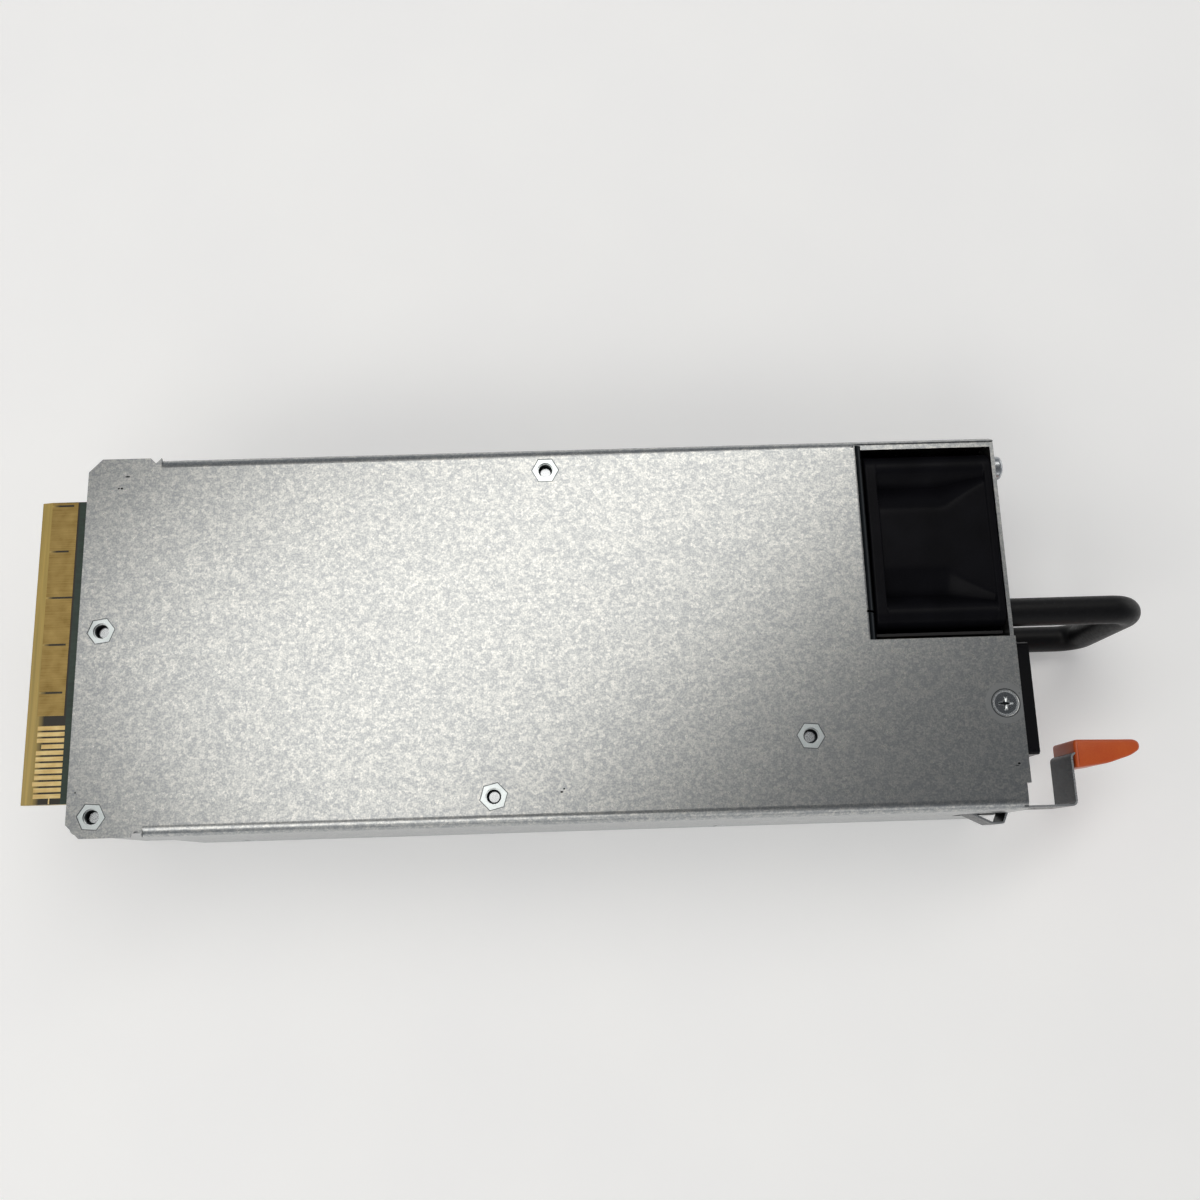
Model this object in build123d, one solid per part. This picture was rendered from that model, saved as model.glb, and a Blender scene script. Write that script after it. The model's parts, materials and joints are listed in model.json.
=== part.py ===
from build123d import *
import math
import os

# Hot swap server power supply, millimetres, +Z up.
# +X points to the rear end with the fan, mains inlet and handle. The unit lies on its label side.
# The origin is the centre of the case's rest face.

# Case
CASE_LENGTH = 193.0
CASE_WIDTH = 79.2
CASE_HEIGHT = 40.0
SHEET = 0.8
BEND_INSIDE = 1.4
CORNER_BEND_INSIDE = 0.6
WALL_FOOT = 0.15
TONGUE_LENGTH = 14.1
RELIEF_WIDTH = 2.3
RELIEF_DEPTH = 1.15
TONGUE_CHAMFER = 2.8
FACE_GAP = 0.3

HALF_WIDTH = CASE_WIDTH / 2
X_FRONT = -CASE_LENGTH / 2
X_REAR = CASE_LENGTH / 2
X_REAR_IN = X_REAR - SHEET
X_WALLS = X_FRONT + TONGUE_LENGTH + RELIEF_WIDTH / 2
FLOOR_IN = CASE_HEIGHT - SHEET
WALL_IN = HALF_WIDTH - SHEET

# Cover, the label side of the case
COVER_FRONT_INSET = 0.6
COVER_FLANGE_HEIGHT = 9.0
COVER_TOP_GAP = 0.1
COVER_BEND_INSIDE = 0.6
COVER_UNDERLAP = 4.0
LABEL_LENGTH = 68.0
LABEL_WIDTH = 48.0
LABEL_SETBACK = 18.5
LABEL_EDGE = 0.5
LABEL_RECESS = 0.12
LABEL_THICKNESS = 0.1
INSULATOR_THICKNESS = 0.25
COVER_IN_WALL = WALL_IN - SHEET
LABEL_START_X = X_REAR - LABEL_SETBACK - LABEL_LENGTH

# Fasteners, all of one thread
THREAD_RADIUS = 1.4
TAPPED_CLEARANCE = 0.06
PASS_CLEARANCE = 0.3
SINK_HEAD_RADIUS = 2.6
SINK_HEAD_HEIGHT = 1.1
PAN_HEAD_RADIUS = 2.6
PAN_HEAD_HEIGHT = 2.1
CROSS_SPAN = 3.0
CROSS_WIDTH = 0.75
CROSS_DEPTH = 0.9
SINK_CLEARANCE = 0.05

# Fan
FAN_SIZE = 38.0
FAN_DEPTH = 27.2
FAN_SIDE_GAP = 2.3
FAN_CORNER = 3.0
FAN_BORE_WALL = 0.8
FAN_FRONT_RIM = 2.4
FAN_REAR_RIM = 1.7
FAN_PANEL_SUNK = 0.45
FAN_BARREL_WALL = 1.5
FAN_FLARE = 2.6
FAN_BARREL_LENGTH = 16.2
FAN_HOLE_EDGE = 3.0
FAN_TUBE_RADIUS = 2.95
FAN_HUB_RADIUS = 11.0
FAN_HUB_WALL = 0.8
FAN_HUB_EDGE = 1.2
FAN_HUB_SETBACK = 4.4
FAN_BOSS_RADIUS = 2.5
FAN_BOSS_LENGTH = 3.0
FAN_BLADES = 7
FAN_BLADE_THICKNESS = 1.1
FAN_ROOT_SUNK = 2.0
FAN_ROOT_PITCH_DEGREES = 38.0
FAN_ROOT_CHORD = 15.0
FAN_TIP_BEYOND = 2.0
FAN_TIP_PITCH_DEGREES = 58.0
FAN_TIP_CHORD = 19.0
FAN_BLADE_FRONT_INSET = 0.8
FAN_BLADE_REAR_INSET = 1.6
FAN_TIP_GAP = 0.4
FAN_BASE_THICKNESS = 2.0
FAN_BASE_INSET = 0.5
FAN_END_GAP = 0.6
FAN_STRUT_WIDTH = 2.4
FAN_STRUT_ROOT = 1.0
FAN_STRUT_END = 0.3
FAN_SHAFT_RADIUS = 1.0
FAN_SHAFT_GAP = 0.03
FAN_SHAFT_BEYOND = 0.4
FAN_BEARING_RADIUS = 3.0
FAN_BEARING_WIDTH = 2.3
FAN_BEARING_BACK_GAP = 1.2
FAN_TUBE_SETBACK = 4.0
FAN_TUBE_WALL = 1.2
FAN_MAGNET_THICKNESS = 0.5
FAN_MAGNET_LENGTH = 10.4
FAN_MAGNET_END_GAP = 0.6
FAN_AIR_GAP = 0.45
FAN_STACK_LENGTH = 6.0
FAN_STACK_BACK_GAP = 3.0
FAN_STACK_RING = 1.2
FAN_SHOE_THICKNESS = 0.9
FAN_TOOTH_WIDTH = 1.8
FAN_TOOTH_END_GAP = 0.5
FAN_SHOE_GAP = 1.4
FAN_COIL_WIDTH = 4.0
FAN_COIL_END = 0.9
FAN_COIL_CLEARANCE = 0.05
FAN_COIL_SHOE_GAP = 1.3
FAN_COIL_RING_GAP = 0.3
FAN_DRIVER_THICKNESS = 0.8
FAN_DRIVER_GAP = 0.1
FAN_SEAT_GAP = 0.02
FAN_SCREW_LENGTH = 8.0
FAN_BORE = FAN_SIZE / 2 - FAN_BORE_WALL
FAN_BARREL_RADIUS = FAN_BORE + FAN_BARREL_WALL
FAN_FLARE_RADIUS = FAN_BARREL_RADIUS + FAN_FLARE
FAN_HOLE_PITCH = FAN_SIZE - 2 * FAN_HOLE_EDGE
FAN_Y = WALL_IN - FAN_SIDE_GAP - FAN_SIZE / 2
FAN_LOW_Y = FAN_Y - FAN_SIZE / 2
FAN_Z = CASE_HEIGHT / 2
FAN_LOW_Z = FAN_Z - FAN_SIZE / 2
X_FAN_REAR = X_REAR_IN
X_FAN_FRONT = X_FAN_REAR - FAN_DEPTH
FAN_HOLES = [(FAN_Y + FAN_HOLE_PITCH / 2, FAN_Z + s * FAN_HOLE_PITCH / 2) for s in (-1, 1)]

# Window over the fan and its turned down lips
WINDOW_LIP_GAP = 0.2
LIP_BEND_OUTSIDE = 2.1
LIP_DEPTH = 5.0
LIP_RELIEF = 0.5
LIP_SPLIT_INSET = 3.35
WINDOW_SIDE_GAP = 2.7
WINDOW_WALL_STRIP = 1.0
X_WINDOW = X_FAN_FRONT - WINDOW_LIP_GAP - LIP_BEND_OUTSIDE
LIP_SPLIT_Y = FAN_LOW_Y + LIP_SPLIT_INSET
WINDOW_LOW_Y = FAN_LOW_Y - WINDOW_SIDE_GAP
WINDOW_HIGH_Y = HALF_WIDTH - WINDOW_WALL_STRIP
GRILLE_HOLE_RADIUS = 1.75
GRILLE_PITCH = 4.3
GRILLE_EDGE = 0.2
GRILLE_RADIUS = FAN_BORE - GRILLE_EDGE

# Handle, a closed loop in one upright plane, in line with the fan's holes
HANDLE_RADIUS = 3.0
HANDLE_REACH = 30.1
HANDLE_CORNER = 5.0
HANDLE_SCREW_LENGTH = 8.0
HANDLE_Y = FAN_Y - FAN_HOLE_PITCH / 2
HANDLE_TOP_Z = FAN_Z + FAN_HOLE_PITCH / 2
HANDLE_LOW_Z = FAN_Z - FAN_HOLE_PITCH / 2

# Mains inlet
INLET_WIDTH = 24.0
INLET_HEIGHT = 17.2
INLET_INSET = 23.8
INLET_LIFT = 1.9
INLET_REACH = 6.0
INLET_WALL = 0.8
INLET_LENGTH = 22.6
INLET_CAVITY = 16.2
INLET_KEY_CHAMFER = 4.2
INLET_EDGE = 0.9
INLET_FLANGE = 1.6
INLET_FLANGE_THICKNESS = 1.8
INLET_PANEL_GAP = 0.15
PIN_SPACING = 7.0
PIN_OFFSET = 2.0
PIN_THICKNESS = 2.0
PIN_HEIGHT = 4.0
PIN_SUNK = 2.0
PIN_CHAMFER = 0.4
TAB_THICKNESS = 0.8
TAB_HEIGHT = 4.8
TAB_LENGTH = 5.0
TAB_PLAY = 0.04
SLEEVE_WALL = 0.9
SLEEVE_SIDE_WALL = 1.4
SLEEVE_GAP = 0.4
SLEEVE_BACK_WALL = 0.2
LEAD_RADIUS = 1.2
INLET_Y = INLET_INSET - HALF_WIDTH
INLET_Z = CASE_HEIGHT / 2 + INLET_LIFT
X_INLET_FACE = X_REAR + INLET_REACH
X_INLET_BACK = X_INLET_FACE - INLET_LENGTH
X_LEADS = X_INLET_BACK - TAB_LENGTH - 2 * LEAD_RADIUS - SLEEVE_BACK_WALL

# Clinched hexagonal standoffs, placed from the case's front, the leads and the side walls
STANDOFFS = [
    (X_FRONT + 96.7, HALF_WIDTH - 5.1, 0.0),
    (X_FRONT + 4.7, 2.3, 8.0),
    (X_FRONT + 5.0, 4.2 - HALF_WIDTH, -4.0),
    (X_FRONT + 85.0, 5.8 - HALF_WIDTH, 14.0),
    (X_LEADS - 19.5, 16.0 - HALF_WIDTH, -5.0),
]
STANDOFF_ACROSS_FLATS = 4.8
STANDOFF_BODY_RADIUS = 2.1
STANDOFF_HEIGHT = 5.2
STANDOFF_HOLE_GAP = 0.04
STANDOFF_MOUTH_RADIUS = 1.65
STANDOFF_MOUTH_DEPTH = 0.4
STANDOFF_SUNK = 0.05
SCREW_TIP_SUNK = 2.0

# Air baffle, an upright film beside the fan
BAFFLE_THICKNESS = 0.6
BAFFLE_FAN_GAP = 0.8
BAFFLE_TOP_GAP = 4.0
BAFFLE_Y = FAN_LOW_Y - BAFFLE_FAN_GAP - BAFFLE_THICKNESS

# Main board, components hang from its lower face
BOARD_THICKNESS = 2.4
BOARD_EDGE_GAP = 0.4
BOARD_FAN_GAP = 4.5
BOARD_INLET_GAP = 0.9
BOARD_BAFFLE_GAP = 1.5
CARD_EDGE_REACH = 12.1
CARD_EDGE_WIDTH = 64.5
CARD_BEVEL_LENGTH = 2.25
CARD_BEVEL_DEPTH = 0.5
CARD_SLOT_GAP = 0.35
BOARD_TOP = FLOOR_IN - STANDOFF_HEIGHT
BOARD_BOTTOM = BOARD_TOP - BOARD_THICKNESS
BOARD_REAR = X_FAN_FRONT - BOARD_FAN_GAP
BOARD_WING_REAR = X_INLET_BACK - BOARD_INLET_GAP
BOARD_WING_TOP_Y = BAFFLE_Y - BOARD_BAFFLE_GAP
X_CARD = X_FRONT - CARD_EDGE_REACH
BOARD_SHOULDER = X_FRONT + COVER_FRONT_INSET + SHEET + FACE_GAP
BOARD_HALF = COVER_IN_WALL - BOARD_EDGE_GAP
BOARD_ROOM = BOARD_BOTTOM - SHEET - INSULATOR_THICKNESS

# Vents of the cover's connector end, as many as fit below the card slot
END_VENT_RADIUS = 2.2
END_VENT_PITCH = 5.6
END_VENT_FIRST_Z = 5.2
END_VENT_TOP_EDGE = 2.0
END_VENT_SIDE_EDGE = 7.0
END_VENT_TOP = BOARD_BOTTOM - CARD_SLOT_GAP - END_VENT_TOP_EDGE - END_VENT_RADIUS
END_VENT_ROWS = 1 + int((END_VENT_TOP - END_VENT_FIRST_Z) / (END_VENT_PITCH * math.sqrt(3) / 2))
END_VENT_COLUMNS = 1 + int(2 * (COVER_IN_WALL - END_VENT_SIDE_EDGE) / END_VENT_PITCH)

# Plating on the card edge
PLATING = 0.06
PAD_BEVEL_GAP = 0.05
PAD_LENGTH = 5.5
POWER_PITCH = 10.16
POWER_FIRST_Y = 31.42
PAD_EDGE_GAP = 0.1
PAD_GAP = 0.42
POWER_WEBS = {0: 0.9, 1: 1.4, 3: 0.65, 4: 0.65}
HALF_PAD = 4.85
SIGNAL_PITCH = 1.27
SIGNAL_COUNT = 12
SIGNAL_FIRST_Y = -16.6
SIGNAL_WIDTH = 0.88
SIGNAL_SETBACK = 0.3
SIGNAL_LENGTH = 5.6
SHORT_FINGER = 3
SHORT_BY = 1.0
LONG_FINGER = 9
STUB_WIDTH = 0.25
STUB_REACH = 3.3
PAD_START = CARD_BEVEL_LENGTH + PAD_BEVEL_GAP
SIGNAL_START = PAD_START + SIGNAL_SETBACK
SIGNAL_END = SIGNAL_START + SIGNAL_LENGTH

# Rear screw that ties the floor to the rear wall's tab
TIE_SCREW_SETBACK = 3.5
TIE_SCREW_INSET = 21.5
TIE_SCREW_LENGTH = 5.0
TIE_TAB_LENGTH = 7.2
TIE_TAB_WIDTH = 9.0
TIE_TAB_THICKNESS = 1.6
TIE_DIMPLE_RADIUS = 2.9
TIE_SCREW_X = X_REAR - TIE_SCREW_SETBACK
TIE_SCREW_Y = TIE_SCREW_INSET - HALF_WIDTH

# Screws that hold the cover's flanges
COVER_SCREW_FRONT_INSET = 26.5
COVER_SCREW_REAR_INSET = 60.5
COVER_SCREW_Z = 5.0
COVER_SCREW_LENGTH = 4.0
COVER_SCREW_X = (X_FRONT + COVER_SCREW_FRONT_INSET, X_REAR - COVER_SCREW_REAR_INSET)

# Release latch, a spring strip inside the wall with a finger tab
LATCH_SHEET = 0.4
LATCH_WALL_GAP = 0.2
LATCH_HEIGHT = 12.0
LATCH_LIFT = 0.5
LATCH_FLEX_SETBACK = 40.5
LATCH_FLEX_GAP = 0.1
LATCH_ROOT_LENGTH = 13.0
LATCH_REACH = 14.1
LATCH_CURL_INSET = 12.1
LATCH_CURL_LENGTH = 4.0
LATCH_BEND_INSIDE = 0.8
LATCH_HOLE_REACHES = (6.9, 10.6)
LATCH_HOLE_RADIUS = 0.6
LATCH_WINDOW_GAP = 0.6
LATCH_LOW_Z = (CASE_HEIGHT - LATCH_HEIGHT) / 2 + LATCH_LIFT
LATCH_HIGH_Z = LATCH_LOW_Z + LATCH_HEIGHT
LATCH_FLEX_X = X_REAR - LATCH_FLEX_SETBACK
LATCH_PLATE_X = X_REAR + LATCH_REACH
LATCH_CURL_Y = LATCH_CURL_INSET - HALF_WIDTH
LATCH_CURL_END = LATCH_PLATE_X + LATCH_CURL_LENGTH
LATCH_Y = -(WALL_IN - LATCH_WALL_GAP - LATCH_SHEET / 2)
CATCH_SETBACK = 10.6
CATCH_RAMP = 6.4
CATCH_NOSE = 2.3
CATCH_BACK = 1.3
CATCH_PROUD = 2.2
CATCH_HEIGHT = 7.0
CATCH_CLEARANCE = 0.45
CATCH_BEND_INSIDE = 0.3
CATCH_START_X = X_REAR - CATCH_SETBACK
CATCH_PEAK_X = CATCH_START_X + CATCH_RAMP
CATCH_END_X = CATCH_PEAK_X + CATCH_NOSE
CATCH_LOCK_X = CATCH_END_X + CATCH_BACK
CATCH_HIGH_Z = LATCH_HIGH_Z
CATCH_LOW_Z = CATCH_HIGH_Z - CATCH_HEIGHT
FINGER_TAB_GAP = 0.7
FINGER_TAB_REACH = 14.1
FINGER_TAB_FACE = 2.9
FINGER_TAB_BACK = 3.2
TAB_TIP_RADIUS = 1.2
TAB_SLOT_GAP = 0.02
TAB_ROOT_X = LATCH_PLATE_X + FINGER_TAB_GAP
TAB_TIP_X = TAB_ROOT_X + FINGER_TAB_REACH
TAB_FACE_Y = LATCH_CURL_Y + FINGER_TAB_FACE
TAB_BACK_Y = LATCH_CURL_Y - FINGER_TAB_BACK
RIVET_RADIUS = 1.5
RIVET_HEAD_RADIUS = 2.6
RIVET_HEAD_HEIGHT = 1.0
RIVET_INSETS = (3.5, 9.5)
REAR_WALL_INSET = 5.3
REAR_WALL_LOW_Y = REAR_WALL_INSET - HALF_WIDTH
SIDE_FLANGE_SETBACK = 0.9

# Status light
LIGHT_INSET = 8.0
LIGHT_DROP = 2.6
LIGHT_RADIUS = 1.3
LIGHT_PROUD = 0.6
LIGHT_SIZE = 2.6
LIGHT_SETBACK = 0.9
LIGHT_Y = LIGHT_INSET - HALF_WIDTH
LIGHT_Z = BOARD_BOTTOM - LIGHT_DROP

# Low vents of the rear wall
REAR_VENT_RADIUS = 1.2
REAR_VENT_PITCH = 3.2
REAR_VENT_Z = 6.0
REAR_VENT_COUNT = 8
REAR_VENT_INSET = 8.6
REAR_VENT_FIRST_Y = REAR_VENT_INSET - HALF_WIDTH

# Primary side components, hung under the board ahead of the inlet's leads
POWER_START_X = X_FRONT + 76.5
POWER_END_X = X_LEADS - 14.3
BULK_COUNT = 2
BULK_GAP = 2.0
BULK_SEAT = 0.3
BULK_WALL_GAP = 5.1
BULK_EDGE = 1.2
BULK_GROOVE_START = 3.0
BULK_GROOVE_WIDTH = 1.2
BULK_GROOVE_DEPTH = 0.7
BULK_RADIUS = 12.5
BULK_LENGTH = (POWER_END_X - POWER_START_X + BULK_GAP) / BULK_COUNT - BULK_GAP
BULK_Y = COVER_IN_WALL - BULK_WALL_GAP - BULK_RADIUS
SINK_BULK_GAP = 6.1
SINK_FLOOR_GAP = 3.55
SINK_THICKNESS = 3.0
SINK_SLOT_PITCH = 6.0
SINK_GROOVE_WIDTH = 2.0
SINK_GROOVE_DEPTH = 1.2
SINK_GROOVE_STOP = 3.0
SINK_Y = BULK_Y - BULK_RADIUS - SINK_BULK_GAP - SINK_THICKNESS / 2
SINK_HEIGHT = BOARD_ROOM - SINK_FLOOR_GAP
PAD_THICKNESS = 0.3
TRANSISTOR_WIDTH = 15.0
TRANSISTOR_DEPTH = 4.6
TRANSISTOR_LIFT = 5.0
TRANSISTOR_INSET = 2.0
TRANSISTOR_PITCH = 17.0
TRANSISTOR_HEIGHT = SINK_HEIGHT - TRANSISTOR_LIFT - TRANSISTOR_INSET
BRIDGE_WIDTH = 22.0
SINK_END_INSET = 1.0
TRANSISTOR_ROOM = POWER_END_X - POWER_START_X - BRIDGE_WIDTH - 2 * SINK_END_INSET
TRANSISTOR_COUNT = int(TRANSISTOR_ROOM / TRANSISTOR_PITCH)
LEG_WIDTH = 1.2
LEG_DEPTH = 0.6
LEG_PITCH = 4.0
BOOST_X = X_LEADS - 61.8
BOOST_Y = 21.6 - HALF_WIDTH
BOOST_OUTER = 14.5
BOOST_INNER = 6.0
BOOST_HEIGHT = 13.0
BOOST_BASE_INSET = 1.0
BOOST_POST_DEPTH = 2.0
WINDING = 1.2
WINDING_CLEARANCE = 0.05
WINDING_TURNS = 24
BASE_HEIGHT = 1.6
FILTER_CHOKES = [(X_LEADS - 19.3, 30.6 - HALF_WIDTH), (X_LEADS - 34.3, 12.6 - HALF_WIDTH)]
FILTER_CHOKE_RADIUS = 7.2
FILTER_CHOKE_SECTION = 3.6
FILTER_CHOKE_SUNK = 0.4
FILTER_BASE_HALF = 8.0
FILTER_BASE_DEPTH = 9.0
FILTER_BOXES = [
    (X_LEADS - 15.3, X_LEADS - 8.3, 6.6 - HALF_WIDTH, 24.6 - HALF_WIDTH, 16.0),
    (X_LEADS - 36.3, X_LEADS - 23.3, 18.1 - HALF_WIDTH, 24.6 - HALF_WIDTH, 14.0),
]
BOX_EDGE = 0.8
DISC_RADIUS = 4.0
DISC_THICKNESS = 3.2
DISC_X = X_LEADS - 41.3
DISC_FIRST_Y = 21.1 - HALF_WIDTH
DISC_PITCH = 4.4
DISC_COUNT = 4
DISC_LIFT = 1.5
DISC_LEG_OFFSET = 2.0
WIRE_RADIUS = 0.4
FUSE_RADIUS = 2.6
FUSE_LEAD_GAP = 1.2
FUSE_X = X_LEADS - FUSE_LEAD_GAP - FUSE_RADIUS
FUSE_LOW_Y = 6.6 - HALF_WIDTH
FUSE_HIGH_Y = 21.6 - HALF_WIDTH
FUSE_CAP = 3.0
FUSE_CAP_WALL = 0.25
FUSE_LIFT = 0.4
FUSE_WIRE_INSET = 1.0
RELAY = (X_LEADS - 7.9, X_LEADS - 0.9, 23.6 - HALF_WIDTH, 33.6 - HALF_WIDTH, 12.0)

# Isolation and output side components, placed from the front
CORE_X = X_FRONT + 58.5
CORE_LENGTH = 28.0
CORE_WIDTH = 30.0
CORE_FLOOR_GAP = 4.55
CORE_HEIGHT = BOARD_ROOM - CORE_FLOOR_GAP
CORE_LEG = 5.0
COIL_GAP = 0.3
RESONANT = (X_FRONT + 46.5, X_FRONT + 68.5, 17.5, 33.0, 20.0)
STANDBY = (X_FRONT + 41.0, X_FRONT + 59.0, -34.0, -18.0, 18.0)
CORE_BAND = 5.0
BOBBIN_INSET = 2.0
BOBBIN_EDGE = 1.0
OUT_SINK_START = X_FRONT + 12.5
OUT_SINK_END = X_FRONT + 40.5
OUT_SINK_HEIGHT = 20.0
OUT_CAN_RADIUS = 4.0
OUT_CAN_HEIGHT = 20.0
OUT_CAN_EDGE = 0.6
OUT_CAN_GROOVE_LIFT = 1.6
OUT_CAN_GROOVE_WIDTH = 0.8
OUT_CAN_GROOVE_DEPTH = 0.4
OUT_CAN_X = (X_FRONT + 15.5, X_FRONT + 25.0, X_FRONT + 34.5)
OUT_CAN_Y = (-25.0, -15.5, 15.5, 25.0)
RECTIFIER_WIDTH = 8.0
RECTIFIER_DEPTH = 4.0
RECTIFIER_HEIGHT = 13.0
RECTIFIER_PITCH = 9.0
RECTIFIER_INSET = 0.5
BUSBAR_THICKNESS = 1.8
BUSBAR_START = X_FRONT + 2.5
BUSBAR_END = X_FRONT + 9.5
BUSBARS_Y = [(6.5, 30.0), (-30.0, -3.5)]
CONTROL_START = X_FRONT + 36.5
CONTROL_END = X_FRONT + 92.5
CONTROL_WALL_GAP = 1.6
CONTROL_THICKNESS = 1.2
CONTROL_FLOOR_GAP = 5.55
CONTROL_Y = COVER_IN_WALL - CONTROL_WALL_GAP - CONTROL_THICKNESS
CONTROL_HEIGHT = BOARD_ROOM - CONTROL_FLOOR_GAP
CHIP_THICKNESS = 1.2
CHIP_SIZE = 7.0
CHIP_COUNT = 5

# Fan lead, plug and header
HEADER_END_GAP = 0.2
HEADER_LENGTH = 4.4
HEADER_WIDTH = 7.2
HEADER_HEIGHT = 6.0
PLUG_INSET = 0.3
PLUG_HEIGHT = 7.0
FAN_LEAD_RADIUS = 1.2
FAN_LEAD_INSET = 3.7
FAN_LEAD_LIFT = 4.5
HEADER_LOW_X = BOARD_REAR - HEADER_END_GAP - HEADER_LENGTH
FAN_LEAD_Y = FAN_LOW_Y + FAN_LEAD_INSET
FAN_LEAD_Z = FAN_LOW_Z + FAN_LEAD_LIFT

BIG = 2 * (CASE_LENGTH + CASE_WIDTH + CASE_HEIGHT)


def block(x, y, z):
    """Box between the low and high value of each pair."""
    size = [high - low for low, high in (x, y, z)]
    middle = [(high + low) / 2 for low, high in (x, y, z)]
    return Pos(*middle) * Box(*size)


def rod_x(x, y, z, radius):
    """Round bar along X, from the pair x."""
    return Pos((x[0] + x[1]) / 2, y, z) * Rot(0, 90, 0) * Cylinder(radius, x[1] - x[0])


def rod_y(x, y, z, radius):
    """Round bar along Y, from the pair y."""
    return Pos(x, (y[0] + y[1]) / 2, z) * Rot(90, 0, 0) * Cylinder(radius, y[1] - y[0])


def rod_z(x, y, z, radius):
    """Round bar along Z, from the pair z."""
    return Pos(x, y, (z[0] + z[1]) / 2) * Cylinder(radius, z[1] - z[0])


def ring_x(x, y, z, outer, inner):
    """Tube along X."""
    return rod_x(x, y, z, outer) - rod_x((x[0] - 1, x[1] + 1), y, z, inner)


def hung(x, y, height, drop=0.0):
    """Box that hangs under the board by its height."""
    top = BOARD_BOTTOM - drop
    return block(x, y, (top - height, top))


def cross_recess():
    """Cross driver recess that goes down from the plane z = 0."""
    arm = Box(CROSS_SPAN, CROSS_WIDTH, 2 * CROSS_DEPTH)
    return arm + Rot(0, 0, 90) * arm


def sink_screw(length):
    """Countersunk screw, head top at z = 0, pointing down."""
    head = Pos(0, 0, -SINK_HEAD_HEIGHT / 2) * Cone(THREAD_RADIUS, SINK_HEAD_RADIUS, SINK_HEAD_HEIGHT)
    shank = Pos(0, 0, -length / 2) * Cylinder(THREAD_RADIUS, length)
    return head + shank - cross_recess()


def sink_hole(depth, bore):
    """Cutter for a countersunk screw whose head top is at z = 0."""
    clear = SINK_CLEARANCE
    reach = SINK_HEAD_HEIGHT + 2 * clear
    head = Pos(0, 0, clear - reach / 2) * Cone(THREAD_RADIUS + clear, SINK_HEAD_RADIUS + 2 * clear, reach)
    return head + Pos(0, 0, -depth / 2) * Cylinder(bore, depth)


def pan_screw(length):
    """Pan head screw, seat at z = 0, head above it, pointing down."""
    head = Pos(0, 0, PAN_HEAD_HEIGHT / 2) * Cylinder(PAN_HEAD_RADIUS, PAN_HEAD_HEIGHT)
    rim = head.edges().filter_by(GeomType.CIRCLE).sort_by(Axis.Z)[-1]
    head = fillet(rim, PAN_HEAD_HEIGHT * 0.45)
    shank = Pos(0, 0, -length / 2) * Cylinder(THREAD_RADIUS, length)
    tip = shank.edges().filter_by(GeomType.CIRCLE).sort_by(Axis.Z)[0]
    shank = chamfer(tip, THREAD_RADIUS * 0.25)
    return head + shank - Pos(0, 0, PAN_HEAD_HEIGHT) * cross_recess()


def toward_plus_x(x, y, z):
    """Place of a screw whose own +Z looks along +X."""
    return Location((x, y, z), (0, 90, 0))


def toward_y(x, y, z, side):
    """Place of a screw whose own +Z looks along +Y or -Y."""
    return Location((x, y, z), (-90 * side, 0, 0))


def offset_line(points, amount):
    """Points of a bent line moved sideways, with mitred corners."""
    normals = []
    for (ax, ay), (bx, by) in zip(points, points[1:]):
        run = math.hypot(bx - ax, by - ay)
        normals.append((-(by - ay) / run, (bx - ax) / run))
    moved = [(points[0][0] + amount * normals[0][0], points[0][1] + amount * normals[0][1])]
    for (nx, ny), (mx, my), (px, py) in zip(normals, normals[1:], points[1:-1]):
        share = amount / (1 + nx * mx + ny * my)
        moved.append((px + share * (nx + mx), py + share * (ny + my)))
    moved.append((points[-1][0] + amount * normals[-1][0], points[-1][1] + amount * normals[-1][1]))
    return moved


def folded_strip(points, thickness, inside, low_z, high_z):
    """Sheet strip standing on edge, folded along a line in plan."""
    radii = {1: [], -1: []}
    for (ax, ay), (bx, by), (cx, cy) in zip(points, points[1:], points[2:]):
        left_turn = (bx - ax) * (cy - by) - (by - ay) * (cx - bx) > 0
        radii[1].append(inside if left_turn else inside + thickness)
        radii[-1].append(inside + thickness if left_turn else inside)
    left = offset_line(points, thickness / 2)
    right = offset_line(points, -thickness / 2)
    left_side = FilletPolyline(*left, radius=radii[1])
    right_side = FilletPolyline(*right, radius=radii[-1])
    ends = [Line(left[0], right[0]), Line(left[-1], right[-1])]
    face = make_face([*left_side.edges(), *right_side.edges(), *ends])
    return Pos(0, 0, low_z) * extrude(face, high_z - low_z, dir=(0, 0, 1))


def grid_rows(rows, columns, pitch, first, middle):
    """Staggered hole places: rows upward from first, columns about middle."""
    for row in range(rows):
        count = columns - row % 2
        for column in range(count):
            yield middle + (column - (count - 1) / 2) * pitch, first + row * pitch * math.sqrt(3) / 2


def grille_places():
    """Staggered places of the grille holes round the fan's axis."""
    reach = int(GRILLE_RADIUS / GRILLE_PITCH) + 2
    limit = GRILLE_RADIUS - GRILLE_HOLE_RADIUS
    for row in range(-reach, reach + 1):
        for column in range(-reach, reach + 1):
            y = (column + (row % 2) / 2) * GRILLE_PITCH
            z = row * GRILLE_PITCH * math.sqrt(3) / 2
            if math.hypot(y, z) <= limit:
                yield FAN_Y + y, FAN_Z + z


def floor_lip(low_y, high_y):
    """Lip of the window that turns down in front of the fan."""
    centre_z = CASE_HEIGHT - LIP_BEND_OUTSIDE
    inside = LIP_BEND_OUTSIDE - SHEET
    bend = rod_y(X_WINDOW, (low_y, high_y), centre_z, LIP_BEND_OUTSIDE)
    bend -= rod_y(X_WINDOW, (low_y - 1, high_y + 1), centre_z, inside)
    bend &= block((X_WINDOW, X_WINDOW + BIG), (low_y, high_y), (centre_z, centre_z + BIG))
    face = X_WINDOW + LIP_BEND_OUTSIDE
    return bend + block((face - SHEET, face), (low_y, high_y), (CASE_HEIGHT - LIP_DEPTH, centre_z))


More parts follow.
